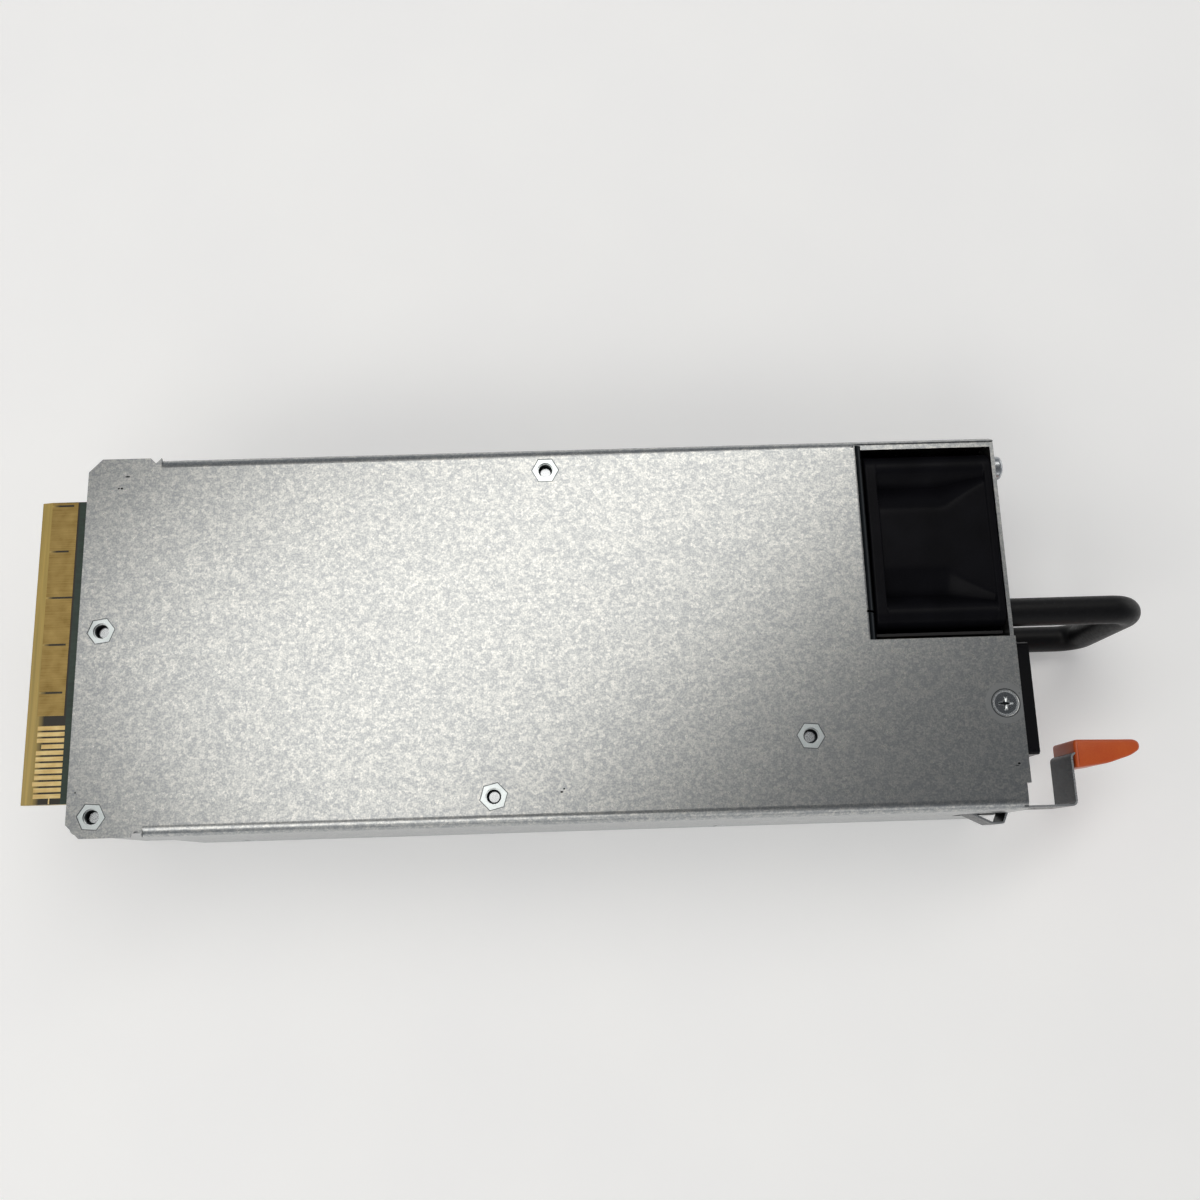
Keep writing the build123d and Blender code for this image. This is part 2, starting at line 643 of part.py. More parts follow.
def bent_block(x, half_y, z, edge_radius, corner_radius):
    """Block with both long upper edges and its +X +Y upright corner rounded."""
    body = block(x, (-half_y, half_y), z)
    plan = block(x, (-half_y, half_y), z)
    body = fillet(body.edges().filter_by(Axis.X).group_by(Axis.Z)[-1], edge_radius)
    upright = plan.edges().filter_by(Axis.Z).sort_by(lambda edge: edge.center().X + edge.center().Y)[-1]
    return body & fillet(upright, corner_radius)


def pan_shell():
    """Floor, side walls and rear wall, bent from one sheet."""
    wall_z = (WALL_FOOT, CASE_HEIGHT)
    outer_radii = (BEND_INSIDE + SHEET, CORNER_BEND_INSIDE + SHEET)
    outer = bent_block((X_WALLS, X_REAR), HALF_WIDTH, wall_z, *outer_radii)
    hollow = ((X_WALLS - 1, X_REAR_IN), WALL_IN, (-1, FLOOR_IN))
    return outer - bent_block(*hollow, BEND_INSIDE, CORNER_BEND_INSIDE)


def pan_tongue():
    """Flat end of the floor beyond the side walls, with its bend reliefs."""
    plate = block((X_FRONT, X_WALLS), (-HALF_WIDTH, HALF_WIDTH), (FLOOR_IN, CASE_HEIGHT))
    corners = plate.edges().filter_by(Axis.Z).group_by(Axis.X)[0]
    plate = chamfer(corners, TONGUE_CHAMFER)
    middle = X_WALLS - RELIEF_WIDTH / 2
    low = FLOOR_IN - 1
    notch = rod_z(middle, -HALF_WIDTH, (low, CASE_HEIGHT + 1), RELIEF_DEPTH)
    mouth = (middle - RELIEF_WIDTH / 2, HALF_WIDTH)
    outline = Polyline(mouth, (middle, HALF_WIDTH - RELIEF_DEPTH), (X_WALLS, HALF_WIDTH), close=True)
    vee = Pos(0, 0, low) * extrude(make_face(outline.edges()), SHEET + 2, dir=(0, 0, 1))
    return plate - notch - vee


def rear_wall_cuts():
    """Holes in the rear wall."""
    span = (X_REAR_IN - 1, X_REAR + 1)
    cuts = [rod_x(span, y, z, GRILLE_HOLE_RADIUS) for y, z in grille_places()]
    cuts += [rod_x(span, y, z, THREAD_RADIUS + PASS_CLEARANCE) for y, z in FAN_HOLES]
    half_y = INLET_WIDTH / 2 + INLET_PANEL_GAP
    half_z = INLET_HEIGHT / 2 + INLET_PANEL_GAP
    cuts.append(block(span, (INLET_Y - half_y, INLET_Y + half_y), (INLET_Z - half_z, INLET_Z + half_z)))
    cuts.append(rod_x(span, LIGHT_Y, LIGHT_Z, LIGHT_RADIUS + INLET_PANEL_GAP))
    for index in range(REAR_VENT_COUNT):
        y = REAR_VENT_FIRST_Y + index * REAR_VENT_PITCH
        cuts.append(rod_x(span, y, REAR_VENT_Z, REAR_VENT_RADIUS))
    inward = Rot(180, 0, 0) * sink_hole(3 * SHEET, THREAD_RADIUS + TAPPED_CLEARANCE)
    cuts += [toward_plus_x(X_REAR_IN, HANDLE_Y, z) * inward for z in (HANDLE_LOW_Z, HANDLE_TOP_Z)]
    return cuts


def latch_cuts():
    """Ways through the side wall and its rear flange for the catch and the strip."""
    clear = CATCH_CLEARANCE
    catch_z = (CATCH_LOW_Z - clear, CATCH_HIGH_Z + clear)
    strip_z = (LATCH_LOW_Z - LATCH_WINDOW_GAP, LATCH_HIGH_Z + LATCH_WINDOW_GAP)
    slot = block((CATCH_START_X, X_REAR), (-HALF_WIDTH - 1, -WALL_IN + 0.01), catch_z)
    window_x = (X_REAR - SIDE_FLANGE_SETBACK - 2 * SHEET, X_REAR + 1)
    return [slot, block(window_x, (-WALL_IN, REAR_WALL_LOW_Y), strip_z)]


def chassis_pan():
    """Sheet metal pan: floor with the window, side walls, rear wall and screw tab."""
    pan = pan_shell() + pan_tongue()
    side_end = X_REAR - SIDE_FLANGE_SETBACK
    pan -= block((side_end, X_REAR + 1), (-HALF_WIDTH - 1, REAR_WALL_LOW_Y), (-1, CASE_HEIGHT + 1))
    flange_y = (-WALL_IN - SHEET / 2, REAR_WALL_LOW_Y - FACE_GAP)
    pan += block((side_end - SHEET, side_end), flange_y, (WALL_FOOT, FLOOR_IN + SHEET / 2))
    pan -= block((X_WINDOW, X_REAR + 1), (WINDOW_LOW_Y, WINDOW_HIGH_Y), (FLOOR_IN, CASE_HEIGHT + 1))
    pan += floor_lip(LIP_SPLIT_Y + LIP_RELIEF / 2, WALL_IN - LIP_RELIEF)
    pan += floor_lip(WINDOW_LOW_Y, LIP_SPLIT_Y - LIP_RELIEF / 2)
    tab_y = (TIE_SCREW_Y - TIE_TAB_WIDTH / 2, TIE_SCREW_Y + TIE_TAB_WIDTH / 2)
    pan += block((X_REAR - TIE_TAB_LENGTH, X_REAR_IN), tab_y, (FLOOR_IN - TIE_TAB_THICKNESS, FLOOR_IN))
    cuts = rear_wall_cuts() + latch_cuts()
    for x, y, turn in STANDOFFS:
        hexagon = RegularPolygon(STANDOFF_ACROSS_FLATS / math.sqrt(3) + STANDOFF_HOLE_GAP, 6)
        cuts.append(Location((x, y, FLOOR_IN - 1), (0, 0, turn)) * extrude(hexagon, SHEET + 2))
    tie = sink_hole(SHEET + TIE_TAB_THICKNESS + 1, THREAD_RADIUS + TAPPED_CLEARANCE)
    cuts.append(Pos(TIE_SCREW_X, TIE_SCREW_Y, CASE_HEIGHT - STANDOFF_SUNK) * tie)
    dimple = Cone(SINK_HEAD_RADIUS, TIE_DIMPLE_RADIUS, 2 * STANDOFF_SUNK)
    cuts.append(Pos(TIE_SCREW_X, TIE_SCREW_Y, CASE_HEIGHT) * dimple)
    wall_hole = sink_hole(2 * SHEET, THREAD_RADIUS)
    for side in (-1, 1):
        for x in COVER_SCREW_X:
            cuts.append(toward_y(x, side * HALF_WIDTH, COVER_SCREW_Z, side) * wall_hole)
    for x in rivet_places():
        cuts.append(rivet(x, SINK_CLEARANCE))
    return pan - cuts


def cover_bends(body):
    """Edges of a cover block that are bends in the sheet."""
    front = body.edges().group_by(Axis.X)[0]
    low = body.edges().filter_by(Axis.X).group_by(Axis.Z)[0]
    return low + front.filter_by(Axis.Z) + front.filter_by(Axis.Y).group_by(Axis.Z)[0]


def cover():
    """Label side shell: plate, low side flanges and the vented connector end."""
    x = (X_FRONT + COVER_FRONT_INSET, X_REAR_IN - CORNER_BEND_INSIDE)
    outer = block(x, (-WALL_IN, WALL_IN), (0, FLOOR_IN - COVER_TOP_GAP))
    inner = block((x[0] + SHEET, X_REAR + 1), (-COVER_IN_WALL, COVER_IN_WALL), (SHEET, CASE_HEIGHT))
    outer = fillet(cover_bends(outer), COVER_BEND_INSIDE + SHEET)
    shell = outer - fillet(cover_bends(inner), COVER_BEND_INSIDE)
    shell -= block((X_WALLS + COVER_UNDERLAP, BIG), (-BIG, BIG), (COVER_FLANGE_HEIGHT, BIG))
    shell -= block((X_WALLS - FACE_GAP, BIG), (-BIG, BIG), (FLOOR_IN - BEND_INSIDE - COVER_TOP_GAP, BIG))
    flange_x = X_REAR - SIDE_FLANGE_SETBACK - SHEET - FACE_GAP
    shell -= block((flange_x, BIG), (-BIG, REAR_WALL_LOW_Y), (-1, BIG))
    end = (x[0] - 1, x[0] + SHEET + 1)
    half = CARD_EDGE_WIDTH / 2 + CARD_SLOT_GAP
    cuts = [block(end, (-half, half), (BOARD_BOTTOM - CARD_SLOT_GAP, BOARD_TOP + CARD_SLOT_GAP))]
    for y, z in grid_rows(END_VENT_ROWS, END_VENT_COLUMNS, END_VENT_PITCH, END_VENT_FIRST_Z, 0):
        cuts.append(rod_x(end, y, z, END_VENT_RADIUS))
    label_x = (LABEL_START_X, LABEL_START_X + LABEL_LENGTH)
    cuts.append(block(label_x, (-LABEL_WIDTH / 2, LABEL_WIDTH / 2), (-1, LABEL_RECESS)))
    for side in (-1, 1):
        for place in COVER_SCREW_X:
            hole = sink_hole(COVER_SCREW_LENGTH, THREAD_RADIUS + TAPPED_CLEARANCE)
            cuts.append(toward_y(place, side * HALF_WIDTH, COVER_SCREW_Z, side) * hole)
    return shell - cuts


def blank_label():
    """Bare label in its shallow recess."""
    x = (LABEL_START_X + LABEL_EDGE, LABEL_START_X + LABEL_LENGTH - LABEL_EDGE)
    y = LABEL_WIDTH / 2 - LABEL_EDGE
    return block(x, (-y, y), (LABEL_RECESS - LABEL_THICKNESS, LABEL_RECESS))


def insulator_sheet():
    """Film that lines the cover under the components."""
    x = (X_FRONT + COVER_FRONT_INSET + SHEET + COVER_BEND_INSIDE, X_WINDOW - FACE_GAP)
    y = COVER_IN_WALL - COVER_BEND_INSIDE
    return block(x, (-y, y), (SHEET, SHEET + INSULATOR_THICKNESS))


def standoffs():
    """Clinched standoffs, hexagonal heads flush in the floor."""
    pieces = []
    for x, y, turn in STANDOFFS:
        hexagon = RegularPolygon(STANDOFF_ACROSS_FLATS / math.sqrt(3), 6)
        top = CASE_HEIGHT - STANDOFF_SUNK
        head = Location((x, y, FLOOR_IN), (0, 0, turn)) * extrude(hexagon, top - FLOOR_IN)
        body = rod_z(x, y, (BOARD_TOP, FLOOR_IN), STANDOFF_BODY_RADIUS)
        bore = rod_z(x, y, (BOARD_TOP - 1, CASE_HEIGHT + 1), THREAD_RADIUS + TAPPED_CLEARANCE)
        mouth = rod_z(x, y, (top - STANDOFF_MOUTH_DEPTH, CASE_HEIGHT + 1), STANDOFF_MOUTH_RADIUS)
        pieces.append(head + body - bore - mouth)
    return pieces


def board_screws():
    """Screws that hold the board to the standoffs, tips inside their bores."""
    length = CASE_HEIGHT - SCREW_TIP_SUNK - BOARD_BOTTOM
    flip = (180, 0, 0)
    return [Location((x, y, BOARD_BOTTOM), flip) * pan_screw(length) for x, y, _ in STANDOFFS]


def cover_screws():
    """Countersunk screws through the side walls into the cover's flanges."""
    screw = sink_screw(COVER_SCREW_LENGTH)
    places = [(x, side) for x in COVER_SCREW_X for side in (-1, 1)]
    return [toward_y(x, side * HALF_WIDTH, COVER_SCREW_Z, side) * screw for x, side in places]


def rivet_places():
    """X of each rivet of the latch's fixed end."""
    start = LATCH_FLEX_X - LATCH_FLEX_GAP - LATCH_ROOT_LENGTH
    return [start + inset for inset in RIVET_INSETS]


def rivet(x, grow=0.0):
    """Rivet through the side wall, flush outside and domed inside."""
    z = (LATCH_LOW_Z + LATCH_HIGH_Z) / 2
    inner_face = -(WALL_IN - LATCH_WALL_GAP - LATCH_SHEET)
    head_end = inner_face + RIVET_HEAD_HEIGHT
    shank = rod_y(x, (-HALF_WIDTH, inner_face), z, RIVET_RADIUS + grow)
    flush = Location((x, -HALF_WIDTH + SHEET / 2, z), (90, 0, 0))
    flush *= Cone(RIVET_RADIUS + grow, RIVET_HEAD_RADIUS + grow, SHEET)
    if grow:
        return shank + flush
    return shank + flush + rod_y(x, (inner_face, head_end), z, RIVET_HEAD_RADIUS)


def latch_root():
    """Fixed end of the spring strip, doubled and riveted to the side wall."""
    end = LATCH_FLEX_X - LATCH_FLEX_GAP
    y = (-WALL_IN, -(WALL_IN - LATCH_WALL_GAP - LATCH_SHEET))
    plate = block((end - LATCH_ROOT_LENGTH, end), y, (LATCH_LOW_Z, LATCH_HIGH_Z))
    return plate - [rivet(x, SINK_CLEARANCE) for x in rivet_places()]


def latch_strip():
    """Spring strip with its formed catch, turned over at the rear for the tab."""
    start = LATCH_FLEX_X + LATCH_FLEX_GAP
    curl = [(LATCH_PLATE_X, LATCH_CURL_Y), (LATCH_CURL_END, LATCH_CURL_Y)]
    route = [(start, LATCH_Y), (LATCH_PLATE_X, LATCH_Y), *curl]
    strip = folded_strip(route, LATCH_SHEET, LATCH_BEND_INSIDE, LATCH_LOW_Z, LATCH_HIGH_Z)
    half = LATCH_SHEET / 2
    beyond = (LATCH_Y - 1, LATCH_Y + 1)
    strip -= block((CATCH_START_X + 1, CATCH_LOCK_X - half), beyond, (CATCH_LOW_Z, CATCH_HIGH_Z))
    middle = (LATCH_LOW_Z + LATCH_HIGH_Z) / 2
    strip -= [rod_y(X_REAR + reach, beyond, middle, LATCH_HOLE_RADIUS) for reach in LATCH_HOLE_REACHES]
    peak = -(HALF_WIDTH + CATCH_PROUD - half)
    nose = [(CATCH_PEAK_X, peak), (CATCH_END_X, peak)]
    bump = [(CATCH_START_X, LATCH_Y), *nose, (CATCH_LOCK_X, LATCH_Y - half)]
    catch = folded_strip(bump, LATCH_SHEET, CATCH_BEND_INSIDE, CATCH_LOW_Z, CATCH_HIGH_Z)
    foot_x = (CATCH_LOCK_X - half, CATCH_LOCK_X + 2 * half)
    return strip + catch + block(foot_x, (LATCH_Y - half, LATCH_Y + half), (CATCH_LOW_Z, CATCH_HIGH_Z))


def latch_tab():
    """Moulded finger tab over the strip's curled end."""
    reach = TAB_TIP_X - TAB_ROOT_X
    depth = TAB_FACE_Y - TAB_BACK_Y
    shoulder = (TAB_ROOT_X + 0.5 * reach, TAB_BACK_Y + 0.15 * depth)
    face = [(TAB_ROOT_X, TAB_FACE_Y), (TAB_TIP_X, TAB_FACE_Y - 0.06 * depth)]
    back = [(TAB_TIP_X, TAB_FACE_Y - 0.42 * depth), shoulder, (TAB_ROOT_X, TAB_BACK_Y)]
    outline = Polyline(*face, *back, close=True)
    body = extrude(make_face(outline.edges()), LATCH_HIGH_Z - LATCH_LOW_Z, dir=(0, 0, 1))
    body = Pos(0, 0, LATCH_LOW_Z) * body
    tip = body.edges().filter_by(Axis.Z).group_by(Axis.X)[-1]
    body = fillet(tip, TAB_TIP_RADIUS)
    half = LATCH_SHEET / 2 + TAB_SLOT_GAP
    slot_x = (TAB_ROOT_X - 1, LATCH_CURL_END + TAB_SLOT_GAP)
    return body - block(slot_x, (LATCH_CURL_Y - half, LATCH_CURL_Y + half), (0, CASE_HEIGHT))


def handle():
    """Round bar bent to a loop, with screw holes in the ends of its legs."""
    end = X_REAR + HANDLE_REACH - HANDLE_RADIUS
    points = [(X_REAR, HANDLE_TOP_Z), (end, HANDLE_TOP_Z), (end, HANDLE_LOW_Z), (X_REAR, HANDLE_LOW_Z)]
    path = FilletPolyline(*[(x, HANDLE_Y, z) for x, z in points], radius=HANDLE_CORNER)
    section = Plane(origin=(X_REAR, HANDLE_Y, HANDLE_TOP_Z), z_dir=(1, 0, 0)) * Circle(HANDLE_RADIUS)
    loop = sweep(section, path=path)
    cutter = Rot(180, 0, 0) * sink_hole(HANDLE_SCREW_LENGTH + 1, THREAD_RADIUS + TAPPED_CLEARANCE)
    return loop - [toward_plus_x(X_REAR_IN, HANDLE_Y, z) * cutter for z in (HANDLE_LOW_Z, HANDLE_TOP_Z)]


def handle_screws():
    """Countersunk screws from inside the rear wall into the handle."""
    screw = Rot(180, 0, 0) * sink_screw(HANDLE_SCREW_LENGTH)
    return [toward_plus_x(X_REAR_IN, HANDLE_Y, z) * screw for z in (HANDLE_LOW_Z, HANDLE_TOP_Z)]


def keyed_block(x, inset):
    """Mains inlet section with two keyed lower corners, drawn in by the inset."""
    y = INLET_WIDTH / 2 - inset
    z = INLET_HEIGHT / 2 - inset
    body = block(x, (INLET_Y - y, INLET_Y + y), (INLET_Z - z, INLET_Z + z))
    body = chamfer(body.edges().filter_by(Axis.X).group_by(Axis.Z)[0], INLET_KEY_CHAMFER - inset * 0.6)
    return fillet(body.edges().filter_by(Axis.X).group_by(Axis.Z)[-1], INLET_EDGE)


def pin_places():
    """Y and Z of the line, earth and neutral pins."""
    return [(INLET_Y - PIN_SPACING, INLET_Z + PIN_OFFSET), (INLET_Y, INLET_Z - PIN_OFFSET),
            (INLET_Y + PIN_SPACING, INLET_Z + PIN_OFFSET)]


def centred(value, size):
    """Pair of limits of a size about a value."""
    return (value - size / 2, value + size / 2)


def inlet_pins():
    """Three blades with solder tabs behind the housing."""
    front = X_INLET_FACE - PIN_SUNK
    middle = X_INLET_FACE - INLET_CAVITY
    pins = []
    for y, z in pin_places():
        blade = block((middle - 1, front), centred(y, PIN_THICKNESS), centred(z, PIN_HEIGHT))
        blade = chamfer(blade.faces().sort_by(Axis.X)[-1].edges(), PIN_CHAMFER)
        tail = block((X_INLET_BACK - TAB_LENGTH, middle), centred(y, TAB_THICKNESS), centred(z, TAB_HEIGHT))
        pins.append(blade + tail)
    return pins


def inlet_housing():
    """Mains inlet body with its socket and inner flange."""
    body = keyed_block((X_INLET_BACK, X_INLET_FACE), 0)
    y = INLET_WIDTH / 2
    z = INLET_HEIGHT / 2 + INLET_FLANGE
    flange_x = (X_REAR_IN - INLET_FLANGE_THICKNESS, X_REAR_IN)
    flange_y = (INLET_Y - y - INLET_FLANGE, INLET_Y + y + INLET_FLANGE / 4)
    body += block(flange_x, flange_y, (INLET_Z - z, INLET_Z + z))
    body -= keyed_block((X_INLET_FACE - INLET_CAVITY, X_INLET_FACE + 1), INLET_WALL)
    return body - inlet_pins()


def inlet_leads():
    """Insulated receptacles on the inlet's tabs, each with its lead up to the board."""
    pieces = []
    for y, z in pin_places():
        sleeve_y = centred(y, TAB_THICKNESS + 2 * SLEEVE_SIDE_WALL)
        sleeve_z = centred(z, TAB_HEIGHT + 2 * SLEEVE_WALL)
        sleeve = block((X_LEADS, X_INLET_BACK - SLEEVE_GAP), sleeve_y, sleeve_z)
        tail_y = centred(y, TAB_THICKNESS + TAB_PLAY)
        sleeve -= block((X_INLET_BACK - TAB_LENGTH, BIG), tail_y, centred(z, TAB_HEIGHT + TAB_PLAY))
        lead = rod_z(X_LEADS + LEAD_RADIUS, y, (z, BOARD_BOTTOM), LEAD_RADIUS)
        pieces.append(sleeve + lead)
    return pieces


def main_board():
    """Circuit board with the bevelled card edge at one end and a wing to the inlet."""
    z = (BOARD_BOTTOM, BOARD_TOP)
    board = block((BOARD_SHOULDER, BOARD_REAR), (-BOARD_HALF, BOARD_HALF), z)
    board += block((X_CARD, BOARD_SHOULDER), centred(0, CARD_EDGE_WIDTH), z)
    board += block((BOARD_REAR, BOARD_WING_REAR), (-BOARD_HALF, BOARD_WING_TOP_Y), z)
    ends = board.edges().filter_by(Axis.Y).group_by(Axis.X)[0]
    face = board.faces().sort_by(Axis.X)[0]
    board = chamfer(ends, CARD_BEVEL_DEPTH, CARD_BEVEL_LENGTH, reference=face)
    return board - [rod_z(x, y, (0, CASE_HEIGHT), THREAD_RADIUS + PASS_CLEARANCE) for x, y, _ in STANDOFFS]


def plated(x, y):
    """The same plating on both faces of the card edge."""
    upper = block(x, y, (BOARD_TOP, BOARD_TOP + PLATING))
    return [upper, block(x, y, (BOARD_BOTTOM - PLATING, BOARD_BOTTOM))]


def power_pads():
    """Wide gold pads: two groups, each slotted between its pads."""
    x = (X_CARD + PAD_START, X_CARD + PAD_START + PAD_LENGTH)
    middle = POWER_FIRST_Y - 2 * POWER_PITCH
    low = POWER_FIRST_Y - 4 * POWER_PITCH - HALF_PAD
    high = CARD_EDGE_WIDTH / 2 - PAD_EDGE_GAP
    slots = []
    for count, web in POWER_WEBS.items():
        y = POWER_FIRST_Y - count * POWER_PITCH
        slots.append(block((x[0] - 1, x[1] - web), centred(y, PAD_GAP), (0, BIG)))
    groups = [(middle + PAD_GAP / 2, high), (low, middle - PAD_GAP / 2)]
    return [pad - slots for group in groups for pad in plated(x, group)]


def signal_fingers():
    """Narrow gold fingers, one short and one long, the last with a stub to the board's edge."""
    fingers = []
    end = X_CARD + SIGNAL_END
    for index in range(SIGNAL_COUNT):
        start = X_CARD + SIGNAL_START
        if index == SHORT_FINGER:
            start += SHORT_BY
        if index == LONG_FINGER:
            start = X_CARD + PAD_START
        y = SIGNAL_FIRST_Y - index * SIGNAL_PITCH
        fingers += plated((start, end), centred(y, SIGNAL_WIDTH))
    x = centred(X_CARD + SIGNAL_START + STUB_REACH, STUB_WIDTH)
    stubs = plated(x, (PAD_EDGE_GAP - CARD_EDGE_WIDTH / 2, y))
    return fingers[:-2] + [finger + stub for finger, stub in zip(fingers[-2:], stubs)]


def squared(x, size, corner):
    """Square fan section along X with rounded corners."""
    half = size / 2
    body = block(x, (FAN_Y - half, FAN_Y + half), (FAN_Z - half, FAN_Z + half))
    return fillet(body.edges().filter_by(Axis.X), corner)


def base_face():
    """X of the motor base's inner face."""
    return X_FAN_REAR - FAN_BASE_INSET - FAN_BASE_THICKNESS


def tube_front():
    """X of the bearing tube's open end."""
    return X_FAN_FRONT + FAN_HUB_SETBACK + FAN_HUB_WALL + FAN_TUBE_SETBACK


def fan_frame():
    """Square frame: two rims, a flared barrel, corner tubes, motor base and struts."""
    frame = squared((X_FAN_FRONT, X_FAN_FRONT + FAN_FRONT_RIM), FAN_SIZE, FAN_CORNER)
    frame += squared((X_FAN_REAR - FAN_REAR_RIM, X_FAN_REAR), FAN_SIZE, FAN_CORNER)
    middle = (X_FAN_FRONT + FAN_FRONT_RIM, X_FAN_REAR - FAN_REAR_RIM)
    turn = X_FAN_FRONT + FAN_BARREL_LENGTH
    barrel = rod_x((middle[0], turn), FAN_Y, FAN_Z, FAN_BARREL_RADIUS)
    flare = Cone(FAN_BARREL_RADIUS, FAN_FLARE_RADIUS, middle[1] - turn)
    barrel += Location(((turn + middle[1]) / 2, FAN_Y, FAN_Z), (0, 90, 0)) * flare
    frame += barrel & squared(middle, FAN_SIZE - 2 * FAN_PANEL_SUNK, FAN_CORNER)
    pitch = FAN_HOLE_PITCH / 2
    corners = [(FAN_Y + i * pitch, FAN_Z + k * pitch) for i in (-1, 1) for k in (-1, 1)]
    for y, z in corners:
        frame += rod_x(middle, y, z, FAN_TUBE_RADIUS)
    through = (X_FAN_FRONT - 1, X_FAN_REAR + 1)
    frame -= rod_x(through, FAN_Y, FAN_Z, FAN_BORE)
    frame -= [rod_x(through, y, z, THREAD_RADIUS + TAPPED_CLEARANCE) for y, z in corners]
    face = base_face()
    back = X_FAN_REAR - FAN_BASE_INSET
    base = rod_x((face, back), FAN_Y, FAN_Z, FAN_HUB_RADIUS)
    strut_z = (FAN_HUB_RADIUS - FAN_STRUT_ROOT, FAN_BORE + FAN_STRUT_END)
    for turn_degrees in (45, 135, 225, 315):
        strut = block((face, back), centred(0, FAN_STRUT_WIDTH), strut_z)
        base += Location((0, FAN_Y, FAN_Z), (turn_degrees, 0, 0)) * strut
    front = tube_front()
    base += rod_x((front, face), FAN_Y, FAN_Z, FAN_BEARING_RADIUS + FAN_TUBE_WALL)
    base -= rod_x((front - 1, face - FAN_SEAT_GAP), FAN_Y, FAN_Z, FAN_BEARING_RADIUS + FAN_SEAT_GAP)
    return frame + base


def bearing_spans():
    """X limits of the two fan bearings, one at each end of the tube."""
    front = tube_front()
    back = base_face() - FAN_SEAT_GAP - FAN_BEARING_BACK_GAP
    return [(front, front + FAN_BEARING_WIDTH), (back - FAN_BEARING_WIDTH, back)]


def fan_bearings():
    """Bearings of the fan's shaft."""
    bore = FAN_SHAFT_RADIUS + FAN_SHAFT_GAP
    return [ring_x(span, FAN_Y, FAN_Z, FAN_BEARING_RADIUS, bore) for span in bearing_spans()]


def fan_shaft():
    """Shaft from the hub's front wall through both bearings."""
    start = X_FAN_FRONT + FAN_HUB_SETBACK + FAN_HUB_WALL
    return rod_x((start, bearing_spans()[1][1] + FAN_SHAFT_BEYOND), FAN_Y, FAN_Z, FAN_SHAFT_RADIUS)


def fan_blade(span):
    """One twisted blade between two tangent sections, cut to the hub and tip circles later."""
    middle = (span[0] + span[1]) / 2
    root = (FAN_HUB_RADIUS - FAN_ROOT_SUNK, FAN_ROOT_PITCH_DEGREES, FAN_ROOT_CHORD)
    tip = (FAN_BORE + FAN_TIP_BEYOND, FAN_TIP_PITCH_DEGREES, FAN_TIP_CHORD)
    sections = []
    for radius, pitch, chord in (root, tip):
        place = Plane(origin=(middle, FAN_Y, FAN_Z + radius), x_dir=(1, 0, 0), z_dir=(0, 0, 1))
        sections.append(place * Rot(0, 0, pitch) * Rectangle(chord, FAN_BLADE_THICKNESS))
    return loft(sections)


def fan_impeller():
    """Hub cup with its shaft boss and the twisted blades."""
    front = X_FAN_FRONT + FAN_HUB_SETBACK
    back = base_face() - FAN_END_GAP
    hub = rod_x((front, back), FAN_Y, FAN_Z, FAN_HUB_RADIUS)
    hub = fillet(hub.edges().filter_by(GeomType.CIRCLE).sort_by(Axis.X)[0], FAN_HUB_EDGE)
    cup = rod_x((front + FAN_HUB_WALL, back + 1), FAN_Y, FAN_Z, FAN_HUB_RADIUS - FAN_HUB_WALL)
    hub -= cup
    boss = (front + FAN_HUB_WALL / 2, front + FAN_HUB_WALL + FAN_BOSS_LENGTH)
    hub += rod_x(boss, FAN_Y, FAN_Z, FAN_BOSS_RADIUS)
    hub -= rod_x((front + FAN_HUB_WALL, boss[1] + 1), FAN_Y, FAN_Z, FAN_SHAFT_RADIUS)
    span = (front + FAN_BLADE_FRONT_INSET, back - FAN_BLADE_REAR_INSET)
    band = ring_x(span, FAN_Y, FAN_Z, FAN_BORE - FAN_TIP_GAP, FAN_HUB_RADIUS - FAN_HUB_WALL / 2)
    blade = fan_blade(span) & band
    turn_about = Pos(0, FAN_Y, FAN_Z)
    for index in range(FAN_BLADES):
        turned = turn_about * Rot(360 * index / FAN_BLADES, 0, 0) * turn_about.inverse() * blade
        hub += turned
    return hub


def magnet_span():
    """X limits of the magnet ring, centred on the stator."""
    back = base_face() - FAN_END_GAP - FAN_MAGNET_END_GAP
    return (back - FAN_MAGNET_LENGTH, back)


def fan_magnet_ring():
    """Magnet ring pressed into the hub cup."""
    outer = FAN_HUB_RADIUS - FAN_HUB_WALL - FAN_SEAT_GAP
    return ring_x(magnet_span(), FAN_Y, FAN_Z, outer, outer - FAN_MAGNET_THICKNESS)


def stator_radius():
    """Outer radius of the stator's teeth."""
    return FAN_HUB_RADIUS - FAN_HUB_WALL - FAN_SEAT_GAP - FAN_MAGNET_THICKNESS - FAN_AIR_GAP


def stack_span():
    """X limits of the stator's stack."""
    back = base_face() - FAN_END_GAP - FAN_STACK_BACK_GAP
    return (back - FAN_STACK_LENGTH, back)


def fan_stator():
    """Four toothed stack on the bearing tube."""
    outer = stator_radius()
    inner = FAN_BEARING_RADIUS + FAN_TUBE_WALL + FAN_SEAT_GAP
    span = stack_span()
    stack = ring_x(span, FAN_Y, FAN_Z, inner + FAN_STACK_RING, inner)
    shoe = ring_x(span, FAN_Y, FAN_Z, outer, outer - FAN_SHOE_THICKNESS)
    gaps = []
    for turn in (0, 90):
        tooth = block(span, centred(0, FAN_TOOTH_WIDTH), centred(0, 2 * (outer - FAN_TOOTH_END_GAP)))
        gap = block(span, centred(0, FAN_SHOE_GAP), centred(0, 3 * outer))
        stack += Location((0, FAN_Y, FAN_Z), (turn, 0, 0)) * tooth
        gaps.append(Location((0, FAN_Y, FAN_Z), (turn + 45, 0, 0)) * gap)
    stack -= rod_x((span[0] - 1, span[1] + 1), FAN_Y, FAN_Z, inner)
    return stack + (shoe - gaps)


